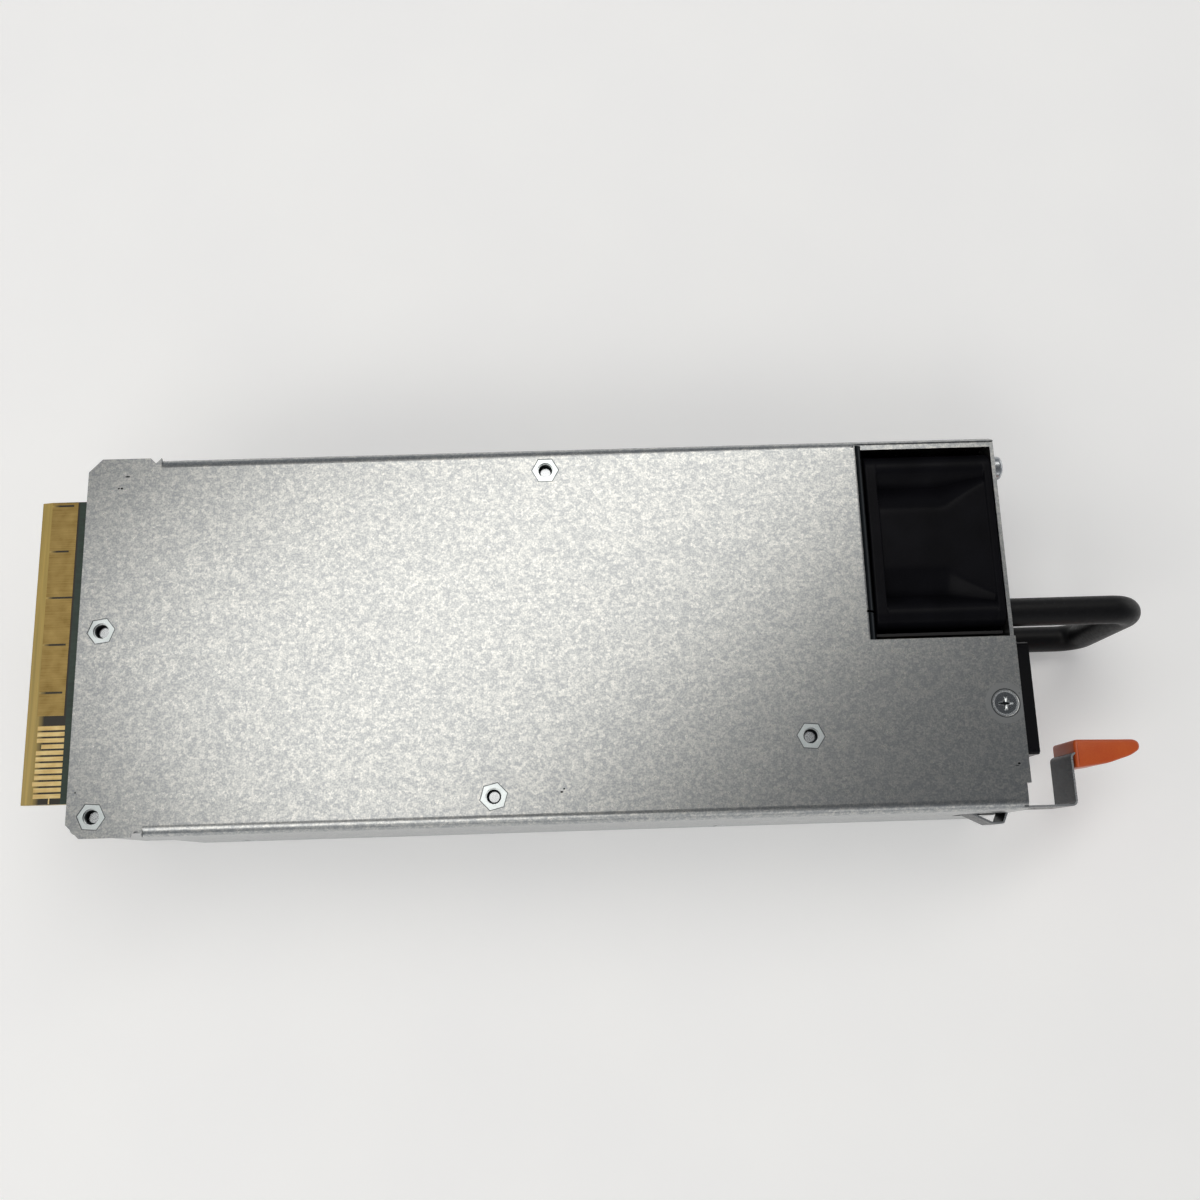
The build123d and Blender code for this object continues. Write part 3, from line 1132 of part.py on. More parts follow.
def fan_coils():
    """Coil round each tooth of the stator."""
    outer = stator_radius() - FAN_COIL_SHOE_GAP
    inner = FAN_BEARING_RADIUS + FAN_TUBE_WALL + FAN_STACK_RING + FAN_COIL_RING_GAP
    span = stack_span()
    clear = FAN_COIL_CLEARANCE
    coil_x = (span[0] - FAN_COIL_END, span[1] + FAN_COIL_END)
    coil = block(coil_x, centred(0, FAN_COIL_WIDTH), (inner, outer))
    hollow = (span[0] - clear, span[1] + clear)
    coil -= block(hollow, centred(0, FAN_TOOTH_WIDTH + 2 * clear), (inner - 1, outer + 1))
    return [Location((0, FAN_Y, FAN_Z), (turn, 0, 0)) * coil for turn in (0, 90, 180, 270)]


def fan_driver_board():
    """Ring shaped driver board behind the coils."""
    back = base_face() - FAN_DRIVER_GAP
    inner = FAN_BEARING_RADIUS + FAN_TUBE_WALL + FAN_SEAT_GAP
    return ring_x((back - FAN_DRIVER_THICKNESS, back), FAN_Y, FAN_Z, stator_radius(), inner)


def fan_screws():
    """Pan head screws through the rear wall into the fan's corner tubes."""
    return [toward_plus_x(X_REAR, y, z) * pan_screw(FAN_SCREW_LENGTH) for y, z in FAN_HOLES]


def fan_header():
    """Fan socket under the board."""
    x = (HEADER_LOW_X, HEADER_LOW_X + HEADER_LENGTH)
    return hung(x, centred(FAN_LEAD_Y, HEADER_WIDTH), HEADER_HEIGHT)


def fan_plug():
    """Plug of the fan's lead, under its socket."""
    x = (HEADER_LOW_X + PLUG_INSET, HEADER_LOW_X + HEADER_LENGTH - PLUG_INSET)
    return hung(x, centred(FAN_LEAD_Y, HEADER_WIDTH - 2 * PLUG_INSET), PLUG_HEIGHT, HEADER_HEIGHT)


def fan_lead():
    """Lead from the plug down and back to the fan frame's corner."""
    x = HEADER_LOW_X + HEADER_LENGTH / 2
    top = BOARD_BOTTOM - HEADER_HEIGHT - PLUG_HEIGHT
    points = [(x, FAN_LEAD_Y, top), (x, FAN_LEAD_Y, FAN_LEAD_Z), (X_FAN_FRONT, FAN_LEAD_Y, FAN_LEAD_Z)]
    path = FilletPolyline(*points, radius=0.45 * (X_FAN_FRONT - x))
    section = Plane(origin=points[0], z_dir=(0, 0, -1)) * Circle(FAN_LEAD_RADIUS)
    return sweep(section, path=path)


def air_baffle():
    """Upright film between the fan and the inlet."""
    x = (X_FAN_FRONT, X_REAR_IN - FACE_GAP)
    z = (FAN_LOW_Z, CASE_HEIGHT - BAFFLE_TOP_GAP)
    return block(x, (BAFFLE_Y, BAFFLE_Y + BAFFLE_THICKNESS), z)


def status_led():
    """Light source on the board's wing."""
    x = (BOARD_WING_REAR - LIGHT_SETBACK - LIGHT_SIZE, BOARD_WING_REAR - LIGHT_SETBACK)
    return block(x, centred(LIGHT_Y, LIGHT_SIZE), (LIGHT_Z - LIGHT_SIZE / 2, BOARD_BOTTOM))


def status_light_pipe():
    """Clear rod from the light source through the rear wall, with a round front."""
    start = BOARD_WING_REAR - LIGHT_SETBACK
    pipe = rod_x((start, X_REAR + LIGHT_PROUD), LIGHT_Y, LIGHT_Z, LIGHT_RADIUS)
    return fillet(pipe.edges().filter_by(GeomType.CIRCLE).sort_by(Axis.X)[-1], LIGHT_RADIUS * 0.4)


def tie_screw():
    """Screw that ties the floor to the rear wall's tab."""
    return Pos(TIE_SCREW_X, TIE_SCREW_Y, CASE_HEIGHT - STANDOFF_SUNK) * sink_screw(TIE_SCREW_LENGTH)


def bulk_capacitors():
    """Two large cans lying under the board, rolled in at the lead end."""
    z = BOARD_BOTTOM - BULK_SEAT - BULK_RADIUS
    cans = []
    for index in range(BULK_COUNT):
        start = POWER_START_X + index * (BULK_LENGTH + BULK_GAP)
        can = rod_x((start, start + BULK_LENGTH), BULK_Y, z, BULK_RADIUS)
        can = fillet(can.edges().filter_by(GeomType.CIRCLE), BULK_EDGE)
        low = start + BULK_GROOVE_START
        floor = BULK_RADIUS - BULK_GROOVE_DEPTH
        groove = ring_x((low, low + BULK_GROOVE_WIDTH), BULK_Y, z, BULK_RADIUS + 1, floor)
        cans.append(can - groove)
    return cans


def primary_heatsink():
    """Aluminium plate along the board with slots in its free edge."""
    y = (SINK_Y - SINK_THICKNESS / 2, SINK_Y + SINK_THICKNESS / 2)
    plate = hung((POWER_START_X, POWER_END_X), y, SINK_HEIGHT)
    low = BOARD_BOTTOM - SINK_HEIGHT
    count = int((POWER_END_X - POWER_START_X) / SINK_SLOT_PITCH)
    groove = ((y[0] - 1, y[0] + SINK_GROOVE_DEPTH), (low - 1, BOARD_BOTTOM - SINK_GROOVE_STOP))
    first = POWER_START_X + SINK_SLOT_PITCH / 2
    places = [first + index * SINK_SLOT_PITCH for index in range(count)]
    return plate - [block(centred(x, SINK_GROOVE_WIDTH), *groove) for x in places]


def primary_devices():
    """X limits of the devices on the primary heatsink: transistors, then the bridge."""
    spans = []
    for index in range(TRANSISTOR_COUNT):
        start = POWER_START_X + SINK_END_INSET + index * TRANSISTOR_PITCH
        spans.append((start, start + TRANSISTOR_WIDTH))
    end = POWER_END_X - SINK_END_INSET
    spans.append((end - BRIDGE_WIDTH, end))
    return spans


def legged_device(x, y, height, legs):
    """Flat package held off the board on its legs."""
    body = hung(x, y, height, TRANSISTOR_LIFT)
    middle = (x[0] + x[1]) / 2
    for index in range(legs):
        leg_x = middle + (index - (legs - 1) / 2) * LEG_PITCH
        body += hung(centred(leg_x, LEG_WIDTH), centred((y[0] + y[1]) / 2, LEG_DEPTH), TRANSISTOR_LIFT)
    return body


def thermal_pads():
    """Insulating pads between the primary devices and the heatsink."""
    face = SINK_Y + SINK_THICKNESS / 2
    y = (face, face + PAD_THICKNESS)
    return [hung(x, y, TRANSISTOR_HEIGHT, TRANSISTOR_LIFT) for x in primary_devices()]


def primary_transistors():
    """Power transistors on the heatsink."""
    face = SINK_Y + SINK_THICKNESS / 2 + PAD_THICKNESS
    y = (face, face + TRANSISTOR_DEPTH)
    return [legged_device(x, y, TRANSISTOR_HEIGHT, 3) for x in primary_devices()[:TRANSISTOR_COUNT]]


def bridge_rectifier():
    """Mains bridge on the same heatsink."""
    face = SINK_Y + SINK_THICKNESS / 2 + PAD_THICKNESS
    y = (face, face + TRANSISTOR_DEPTH)
    return legged_device(primary_devices()[-1], y, TRANSISTOR_HEIGHT, 4)


def boost_core():
    """Toroidal core of the boost choke on its base."""
    base_z = (BOARD_BOTTOM - BASE_HEIGHT, BOARD_BOTTOM)
    base = rod_z(BOOST_X, BOOST_Y, base_z, BOOST_OUTER - BOOST_BASE_INSET)
    top = BOARD_BOTTOM - BASE_HEIGHT - WINDING
    ring = rod_z(BOOST_X, BOOST_Y, (top - BOOST_HEIGHT + 2 * WINDING, top), BOOST_OUTER - WINDING)
    ring -= rod_z(BOOST_X, BOOST_Y, (0, BIG), BOOST_INNER + WINDING)
    post_z = (top - BOOST_POST_DEPTH, BOARD_BOTTOM - BASE_HEIGHT)
    post = rod_z(BOOST_X, BOOST_Y, post_z, BOOST_INNER - BOOST_BASE_INSET)
    return [ring, base + post]


def boost_winding():
    """Turns of flat wire round the boost choke's core."""
    top = BOARD_BOTTOM - BASE_HEIGHT
    low = top - BOOST_HEIGHT
    clear = WINDING_CLEARANCE
    turns = []
    width = 2 * math.pi * BOOST_INNER / WINDING_TURNS * 0.8
    outer = block((BOOST_INNER, BOOST_OUTER), centred(0, width), (low, top))
    hole_x = (BOOST_INNER + WINDING - clear, BOOST_OUTER - WINDING + clear)
    hole = block(hole_x, (-BIG, BIG), (low + WINDING - clear, top - WINDING + clear))
    for index in range(WINDING_TURNS):
        turns.append(Location((BOOST_X, BOOST_Y, 0), (0, 0, 360 * index / WINDING_TURNS)) * (outer - hole))
    return turns


def filter_chokes():
    """Upright common mode chokes, each on its base."""
    chokes = []
    reach = FILTER_CHOKE_RADIUS + FILTER_CHOKE_SECTION
    for x, y in FILTER_CHOKES:
        ring = Location((x, y, BOARD_BOTTOM - BASE_HEIGHT - reach + FILTER_CHOKE_SUNK), (90, 0, 0))
        ring *= Torus(FILTER_CHOKE_RADIUS, FILTER_CHOKE_SECTION)
        base = hung(centred(x, 2 * FILTER_BASE_HALF), centred(y, FILTER_BASE_DEPTH), BASE_HEIGHT)
        chokes.append(ring + base)
    return chokes


def box_group(boxes):
    """Boxed components given as low x, high x, low y, high y and height."""
    pieces = []
    for x0, x1, y0, y1, height in boxes:
        body = hung((x0, x1), (y0, y1), height)
        pieces.append(fillet(body.edges().filter_by(Axis.Z), BOX_EDGE))
    return pieces


def disc_capacitors():
    """Row of disc capacitors on their leads."""
    z = BOARD_BOTTOM - DISC_RADIUS - DISC_LIFT
    discs = []
    for index in range(DISC_COUNT):
        y = DISC_FIRST_Y + index * DISC_PITCH
        disc = rod_y(DISC_X, centred(y, DISC_THICKNESS), z, DISC_RADIUS)
        for side in (-1, 1):
            disc += rod_z(DISC_X + side * DISC_LEG_OFFSET, y, (z, BOARD_BOTTOM), WIRE_RADIUS)
        discs.append(disc)
    return discs


def fuse():
    """Cartridge fuse with end caps on short leads."""
    z = BOARD_BOTTOM - FUSE_RADIUS - FUSE_LIFT
    body = rod_y(FUSE_X, (FUSE_LOW_Y, FUSE_HIGH_Y), z, FUSE_RADIUS)
    middle = (FUSE_LOW_Y + FUSE_CAP, FUSE_HIGH_Y - FUSE_CAP)
    sleeve = rod_y(FUSE_X, middle, z, FUSE_RADIUS + 1)
    body -= sleeve - rod_y(FUSE_X, (FUSE_LOW_Y, FUSE_HIGH_Y), z, FUSE_RADIUS - FUSE_CAP_WALL)
    for y in (FUSE_LOW_Y + FUSE_WIRE_INSET, FUSE_HIGH_Y - FUSE_WIRE_INSET):
        body += rod_z(FUSE_X, y, (z, BOARD_BOTTOM), WIRE_RADIUS)
    return body


def transformer_core():
    """Ferrite core of the main transformer: two end legs joined by yokes."""
    x = centred(CORE_X, CORE_LENGTH)
    frame = hung(x, centred(0, CORE_WIDTH), CORE_HEIGHT)
    low = BOARD_BOTTOM - CORE_HEIGHT
    window = (low + CORE_LEG, BOARD_BOTTOM - CORE_LEG)
    frame -= block((x[0] - 1, x[1] + 1), centred(0, CORE_WIDTH - 2 * CORE_LEG), window)
    return frame + rod_z(CORE_X, 0, window, CORE_LEG)


def transformer_windings():
    """Taped winding round the core's middle leg."""
    low = BOARD_BOTTOM - CORE_HEIGHT + CORE_LEG + COIL_GAP
    high = BOARD_BOTTOM - CORE_LEG - COIL_GAP
    outer = CORE_WIDTH / 2 - CORE_LEG - COIL_GAP
    coil = rod_z(CORE_X, 0, (low, high), outer)
    return coil - rod_z(CORE_X, 0, (low - 1, high + 1), CORE_LEG + COIL_GAP)


def wound_block(limits):
    """Small cored coil: a bobbin block with a core band round it."""
    x0, x1, y0, y1, height = limits
    core = hung((x0, x1), centred((y0 + y1) / 2, CORE_BAND), height)
    inset = BOBBIN_INSET
    body = hung((x0 + inset, x1 - inset), (y0, y1), height - 2 * inset, inset)
    return core + fillet(body.edges().filter_by(Axis.Z), BOBBIN_EDGE)


def output_heatsink():
    """Upright plate between the two rows of output rectifiers."""
    return hung((OUT_SINK_START, OUT_SINK_END), centred(0, SINK_THICKNESS), OUT_SINK_HEIGHT)


def output_rectifiers():
    """Output rectifiers on both faces of their heatsink."""
    pieces = []
    count = int((OUT_SINK_END - OUT_SINK_START) / RECTIFIER_PITCH)
    for index in range(count):
        start = OUT_SINK_START + RECTIFIER_INSET + index * RECTIFIER_PITCH
        for side in (-1, 1):
            near = side * SINK_THICKNESS / 2
            y = tuple(sorted((near, near + side * RECTIFIER_DEPTH)))
            pieces.append(legged_device((start, start + RECTIFIER_WIDTH), y, RECTIFIER_HEIGHT, 2))
    return pieces


def output_capacitors():
    """Upright output cans with a rolled groove."""
    cans = []
    for x in OUT_CAN_X:
        for y in OUT_CAN_Y:
            can = rod_z(x, y, (BOARD_BOTTOM - OUT_CAN_HEIGHT, BOARD_BOTTOM), OUT_CAN_RADIUS)
            can = fillet(can.edges().filter_by(GeomType.CIRCLE).sort_by(Axis.Z)[0], OUT_CAN_EDGE)
            high = BOARD_BOTTOM - OUT_CAN_GROOVE_LIFT
            groove = rod_z(x, y, (high - OUT_CAN_GROOVE_WIDTH, high), OUT_CAN_RADIUS + 1)
            groove -= rod_z(x, y, (0, BIG), OUT_CAN_RADIUS - OUT_CAN_GROOVE_DEPTH)
            cans.append(can - groove)
    return cans


def output_busbars():
    """Copper bars under the board, one for each power group."""
    return [hung((BUSBAR_START, BUSBAR_END), y, BUSBAR_THICKNESS) for y in BUSBARS_Y]


def control_board():
    """Daughter board that stands along the side."""
    return hung((CONTROL_START, CONTROL_END), (CONTROL_Y, CONTROL_Y + CONTROL_THICKNESS), CONTROL_HEIGHT)


def control_chips():
    """Chips on the daughter board's inner face."""
    step = (CONTROL_END - CONTROL_START) / CHIP_COUNT
    z = centred(BOARD_BOTTOM - CONTROL_HEIGHT / 2, CHIP_SIZE)
    places = [CONTROL_START + (index + 0.5) * step for index in range(CHIP_COUNT)]
    return [block(centred(x, CHIP_SIZE), (CONTROL_Y - CHIP_THICKNESS, CONTROL_Y), z) for x in places]


def build():
    """Every node by name."""
    return {
        "chassis_pan": chassis_pan(),
        "cover": cover(),
        "blank_label": blank_label(),
        "insulator_sheet": insulator_sheet(),
        "standoffs": standoffs(),
        "board_screws": board_screws(),
        "tie_screw": tie_screw(),
        "cover_screws": cover_screws(),
        "fan_screws": fan_screws(),
        "handle": handle(),
        "handle_screws": handle_screws(),
        "inlet_housing": inlet_housing(),
        "inlet_pins": inlet_pins(),
        "inlet_leads": inlet_leads(),
        "latch_strip": latch_strip(),
        "latch_root": latch_root(),
        "latch_rivets": [rivet(x) for x in rivet_places()],
        "latch_tab": latch_tab(),
        "status_led": status_led(),
        "status_light_pipe": status_light_pipe(),
        "fan_frame": fan_frame(),
        "fan_impeller": fan_impeller(),
        "fan_magnet_ring": fan_magnet_ring(),
        "fan_shaft": fan_shaft(),
        "fan_bearings": fan_bearings(),
        "fan_stator": fan_stator(),
        "fan_coils": fan_coils(),
        "fan_driver_board": fan_driver_board(),
        "fan_header": fan_header(),
        "fan_plug": fan_plug(),
        "fan_lead": fan_lead(),
        "air_baffle": air_baffle(),
        "main_board": main_board(),
        "power_pads": power_pads(),
        "signal_fingers": signal_fingers(),
        "bulk_capacitors": bulk_capacitors(),
        "primary_heatsink": primary_heatsink(),
        "thermal_pads": thermal_pads(),
        "primary_transistors": primary_transistors(),
        "bridge_rectifier": bridge_rectifier(),
        "boost_choke_core": boost_core(),
        "boost_choke_winding": boost_winding(),
        "filter_chokes": filter_chokes(),
        "filter_capacitors": box_group(FILTER_BOXES),
        "disc_capacitors": disc_capacitors(),
        "fuse": fuse(),
        "inrush_relay": box_group([RELAY]),
        "transformer_core": transformer_core(),
        "transformer_windings": transformer_windings(),
        "resonant_inductor": wound_block(RESONANT),
        "standby_transformer": wound_block(STANDBY),
        "output_heatsink": output_heatsink(),
        "output_rectifiers": output_rectifiers(),
        "output_capacitors": output_capacitors(),
        "output_busbars": output_busbars(),
        "control_board": control_board(),
        "control_chips": control_chips(),
    }


def save(name, shape):
    """Write one node, a single solid or a group of them."""
    shapes = shape if isinstance(shape, list) else [shape]
    solids = [solid for item in shapes for solid in item.solids()]
    export_step(solids[0] if len(solids) == 1 else Compound(solids), f"parts/{name}.step")


os.makedirs("parts", exist_ok=True)
for node_name, node_shape in build().items():
    save(node_name, node_shape)
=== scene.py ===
"""Looks of a hot swap server power supply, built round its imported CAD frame.

Sizes in the classes are millimetres in the frame of the CAD: +X to the rear end with the handle,
+Y to the fan's side, +Z up through the floor of the case. Meshes are written in metres.
"""

from __future__ import annotations

import json
import logging
from dataclasses import dataclass, field
from enum import Enum
from typing import Any

import bpy
import numpy as np
from mathutils import Matrix

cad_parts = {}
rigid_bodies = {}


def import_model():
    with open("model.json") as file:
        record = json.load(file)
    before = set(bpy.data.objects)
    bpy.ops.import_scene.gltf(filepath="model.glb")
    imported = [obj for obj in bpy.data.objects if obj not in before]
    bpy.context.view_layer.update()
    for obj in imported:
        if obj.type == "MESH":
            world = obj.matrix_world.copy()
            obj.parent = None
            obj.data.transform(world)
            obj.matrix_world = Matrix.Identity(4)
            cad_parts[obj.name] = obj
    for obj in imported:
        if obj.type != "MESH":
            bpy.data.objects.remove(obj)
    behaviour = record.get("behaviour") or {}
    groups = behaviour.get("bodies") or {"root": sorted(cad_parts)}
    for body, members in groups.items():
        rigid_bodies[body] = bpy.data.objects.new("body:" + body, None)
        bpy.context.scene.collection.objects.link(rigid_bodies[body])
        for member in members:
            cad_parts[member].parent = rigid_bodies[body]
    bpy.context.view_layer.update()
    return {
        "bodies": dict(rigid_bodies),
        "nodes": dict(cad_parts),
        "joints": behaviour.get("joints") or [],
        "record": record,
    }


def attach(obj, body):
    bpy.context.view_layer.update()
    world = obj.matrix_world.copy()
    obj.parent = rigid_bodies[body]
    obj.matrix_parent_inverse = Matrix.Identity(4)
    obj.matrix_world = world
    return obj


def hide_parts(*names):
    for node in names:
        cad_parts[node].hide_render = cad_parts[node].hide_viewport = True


LOG = logging.getLogger("power_supply")
MM = 0.001
Colour = tuple[float, float, float, float]
Socket = bpy.types.NodeSocket


def linear(code: str) -> Colour:
    """Turns an sRGB hex colour into linear light.

    Args:
        code: Six hex digits with a leading hash.

    Returns:
        Linear red, green and blue with an alpha of 1.
    """
    parts = [int(code[index:index + 2], 16) / 255 for index in (1, 3, 5)]
    light = [part / 12.92 if part <= 0.04045 else ((part + 0.055) / 1.055) ** 2.4 for part in parts]
    return (light[0], light[1], light[2], 1.0)


@dataclass
class Skin:
    """Gathers closed surfaces and turns them into one mesh piece."""

    name: str
    points: list[np.ndarray] = field(default_factory=list)
    faces: list[list[int]] = field(default_factory=list)
    total: int = 0

    def add(self, grid: np.ndarray, wrap_rows: bool = False) -> None:
        """Adds a closed surface given as rows of rings.

        Each quad joins point (row, column) to its neighbours in the next row and column. Columns
        always close round. The signed volume, the sum of a . (b x c) / 6 over the triangles,
        tells which way the faces point, and they are turned outwards.

        Args:
            grid: Points in millimetres, shape (rows, columns, 3).
            wrap_rows: Joins the last row to the first, instead of closing both with a face.
        """
        rows, columns = grid.shape[:2]
        index = np.arange(rows * columns).reshape(rows, columns)
        index = np.concatenate([index, index[:, :1]], axis=1)
        if wrap_rows:
            index = np.concatenate([index, index[:1]], axis=0)
        corners = [index[:-1, :-1], index[:-1, 1:], index[1:, 1:], index[1:, :-1]]
        quads = np.stack(corners, axis=-1).reshape(-1, 4)
        flat = grid.reshape(-1, 3)
        middle = flat - flat.mean(axis=0)
        a, b, c, d = (middle[quads[:, corner]] for corner in range(4))
        volume = np.sum(a * np.cross(b, c)) + np.sum(a * np.cross(c, d))
        caps: list[np.ndarray] = []
        if not wrap_rows:
            caps = [np.arange(columns)[::-1], (rows - 1) * columns + np.arange(columns)]
            for cap in caps:
                ring = middle[cap]
                volume += np.sum(ring[0] * np.cross(ring[1:-1], ring[2:]))
        if volume < 0:
            quads = quads[:, ::-1]
            caps = [cap[::-1] for cap in caps]
        self.faces += (quads + self.total).tolist() + [(cap + self.total).tolist() for cap in caps]
        self.points.append(flat)
        self.total += len(flat)

    def piece(self, body: str, replaces: tuple[str, ...] = ()) -> bpy.types.Object:
        """Makes the object, smooth where faces meet gently, and ties it to the frame.

        Args:
            body: CAD body that the piece moves with.
            replaces: CAD nodes that the piece stands for.

        Returns:
            The finished object, at the origin.
        """
        mesh = bpy.data.meshes.new(self.name)
        mesh.from_pydata((np.concatenate(self.points) * MM).tolist(), [], self.faces)
        mesh.validate()
        mesh.shade_smooth()
        mesh.set_sharp_from_angle(angle=np.radians(32.0))
        shape = bpy.data.objects.new(self.name, mesh)
        bpy.context.scene.collection.objects.link(shape)
        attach(shape, body)
        if replaces:
            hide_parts(*replaces)
        LOG.info("built %s: %d faces, rides on %s", self.name, len(self.faces), body)
        return shape


def eased(corners: list[tuple[float, float]], radius: float, steps: int = 4) -> np.ndarray:
    """Rounds the corners of a line of points.

    Near a corner the line is the curve (1 - t)^2 a + 2 t (1 - t) corner + t^2 b, where a and b
    lie one radius, or at most 0.45 of the run, before and after the corner.

    Args:
        corners: Points of the line; its two ends stay.
        radius: Reach of the rounding.
        steps: Points on each rounding, less one.

    Returns:
        Points, shape (count, 2).
    """
    line = np.array(corners, dtype=float)
    ahead = line[2:] - line[1:-1]
    behind = line[:-2] - line[1:-1]
    reach_a = np.minimum(radius, 0.45 * np.linalg.norm(ahead, axis=1))[:, None]
    reach_b = np.minimum(radius, 0.45 * np.linalg.norm(behind, axis=1))[:, None]
    b = line[1:-1] + ahead / np.linalg.norm(ahead, axis=1)[:, None] * reach_a
    a = line[1:-1] + behind / np.linalg.norm(behind, axis=1)[:, None] * reach_b
    t = np.linspace(0, 1, steps + 1)[None, :, None]
    curve = (1 - t) ** 2 * a[:, None] + 2 * t * (1 - t) * line[1:-1][:, None] + t ** 2 * b[:, None]
    return np.concatenate([line[:1], curve.reshape(-1, 2), line[-1:]])


def round_gap(near: np.ndarray, radius: float) -> np.ndarray:
    """Gap that a quarter round leaves to the full size close to an end.

    With d the distance from the end, up to the radius, it is radius - sqrt(d (2 radius - d)), in
    which rounding errors can't make the root's number negative.

    Args:
        near: Distances from the end.
        radius: Radius of the round.

    Returns:
        Gaps, one for each distance.
    """
    d = near.clip(0, radius)
    return radius - np.sqrt(d * (2 * radius - d))


class Across(Enum):
    """Direction that a drawn or rolled surface's lines run along."""

    ALONG_X = (0.03, 1.0, 1.0)
    ALONG_Y = (1.0, 0.03, 1.0)
    NONE = (1.0, 1.0, 1.0)


@dataclass(frozen=True)
class Mark:
    """Round or drawn out mark on a surface, placed and measured from above."""

    x: float
    y: float
    reach_x: float
    reach_y: float
    colour: str = "#26282A"
    inner: float = 0.0


@dataclass(frozen=True)
class Relief:
    """Pattern that raises a surface, and the height in millimetres of its full range."""

    pattern: Socket
    depth: float
    strength: float = 1.0


@dataclass
class Graph:
    """A node tree under construction."""

    tree: bpy.types.NodeTree

    def add(self, kind: str, inputs: dict[Any, Any] | None = None, out: str | int = 0,
            **settings: Any) -> Socket:
        """Adds a node with its settings, and links or sets its inputs.

        Args:
            kind: Blender's name of the node type.
            inputs: Input name or number, to a socket to link or a value to set.
            out: Output that is wanted.
            settings: Properties of the node.

        Returns:
            That output of the new node.
        """
        node = self.tree.nodes.new(kind)
        for key, value in settings.items():
            setattr(node, key, value)
        for key, value in (inputs or {}).items():
            if isinstance(value, Socket):
                self.tree.links.new(value, node.inputs[key])
            else:
                node.inputs[key].default_value = value
        return node.outputs[out]


class Surface(Graph):
    """A material under construction, with its shader and its object coordinates."""

    def __init__(self, name: str, **constants: Any) -> None:
        """Starts the material.

        Args:
            name: Name of the material.
            constants: Values of the shader's own sockets, spaces written as underscores.
        """
        self.material = bpy.data.materials.new(name)
        self.material.use_nodes = True
        super().__init__(self.material.node_tree)
        self.shader = self.tree.nodes["Principled BSDF"]
        for key, value in constants.items():
            self.shader.inputs[key.replace("_", " ")].default_value = value
        self.place = self.add("ShaderNodeTexCoord", out="Object")

    def grain(self, size: float, along: Across = Across.NONE, detail: float = 2.0) -> Socket:
        """Cloudy pattern from 0 to 1.

        Args:
            size: Width of one cloud in millimetres.
            along: Direction that the clouds are drawn out along.
            detail: Octaves of finer clouds.

        Returns:
            The pattern's socket.
        """
        drawn = self.add("ShaderNodeMapping", {"Vector": self.place, "Scale": along.value})
        scale = {"Vector": drawn, "Scale": 1.0 / (size * MM), "Detail": detail}
        return self.add("ShaderNodeTexNoise", scale, "Fac")

    def tint(self, pattern: Socket, stops: dict[float, str]) -> Socket:
        """Colours a pattern.

        Args:
            pattern: Value from 0 to 1.
            stops: Place on the pattern's range, to an sRGB hex colour.

        Returns:
            The colour's socket.
        """
        ramp = self.add("ShaderNodeValToRGB", {"Fac": pattern}, "Color")
        elements = ramp.node.color_ramp.elements
        while len(elements) < len(stops):
            elements.new(0.5)
        for element, (place, code) in zip(elements, sorted(stops.items())):
            element.position = place
            element.color = linear(code)
        return ramp

    def marked(self, colour: Socket, marks: tuple[Mark, ...]) -> Socket:
        """Paints marks over a colour.

        A point is in a mark where the length of ((x - cx) / rx, (y - cy) / ry) lies between the
        mark's inner share and 1.

        Args:
            colour: Colour to paint over.
            marks: The marks, the last on top.

        Returns:
            The painted colour's socket.
        """
        for mark in marks:
            scale = (1 / (mark.reach_x * MM), 1 / (mark.reach_y * MM), 0.0)
            shift = (-mark.x / mark.reach_x, -mark.y / mark.reach_y, 0.0)
            steps = {0: self.place, 1: scale, 2: shift}
            local = self.add("ShaderNodeVectorMath", steps, "Vector", operation="MULTIPLY_ADD")
            length = self.add("ShaderNodeVectorMath", {0: local}, "Value", operation="LENGTH")
            band = {0: length, 1: (1 + mark.inner) / 2, 2: (1 - mark.inner) / 2}
            share = self.add("ShaderNodeMath", band, operation="COMPARE")
            paint = {"Factor": share, 6: colour, 7: linear(mark.colour)}
            colour = self.add("ShaderNodeMix", paint, 2, data_type="RGBA")
        return colour

    def level_faces(self) -> Socket:
        """Gives 1 on faces square to Z and 0 on the others."""
        facing = self.add("ShaderNodeNewGeometry", out="True Normal")
        upward = self.add("ShaderNodeSeparateXYZ", {"Vector": facing}, "Z")
        flat = self.add("ShaderNodeMath", {0: upward}, operation="ABSOLUTE")
        return self.add("ShaderNodeMath", {0: flat, 1: 0.99}, operation="GREATER_THAN")

    def finished(self, colour: Socket, dull: Socket, rough: tuple[float, float],
                 *reliefs: Relief) -> bpy.types.Material:
        """Feeds the shader its colour, its roughness and its reliefs.

        Args:
            colour: Colour of the surface.
            dull: Pattern that the roughness follows.
            rough: Roughness where that pattern is 0.25 and where it is 0.75.
            reliefs: Reliefs, the last on top.

        Returns:
            The finished material.
        """
        limits = {"Value": dull, "From Min": 0.25, "From Max": 0.75, "To Min": rough[0], "To Max": rough[1]}
        ends = {"Base Color": colour, "Roughness": self.add("ShaderNodeMapRange", limits)}
        for relief in reliefs:
            bump = {"Height": relief.pattern, "Distance": relief.depth * MM, "Strength": relief.strength}
            below = {"Normal": ends["Normal"]} if "Normal" in ends else {}
            ends["Normal"] = self.add("ShaderNodeBump", bump | below)
        for name, source in ends.items():
            self.tree.links.new(source, self.shader.inputs[name])
        return self.material


@dataclass(frozen=True)
class Finish:
    """A real material in two shades, as its own class makes it."""

    name: str
    dark: str
    light: str

    def material(self) -> bpy.types.Material:
        """Builds the material."""
        raise NotImplementedError


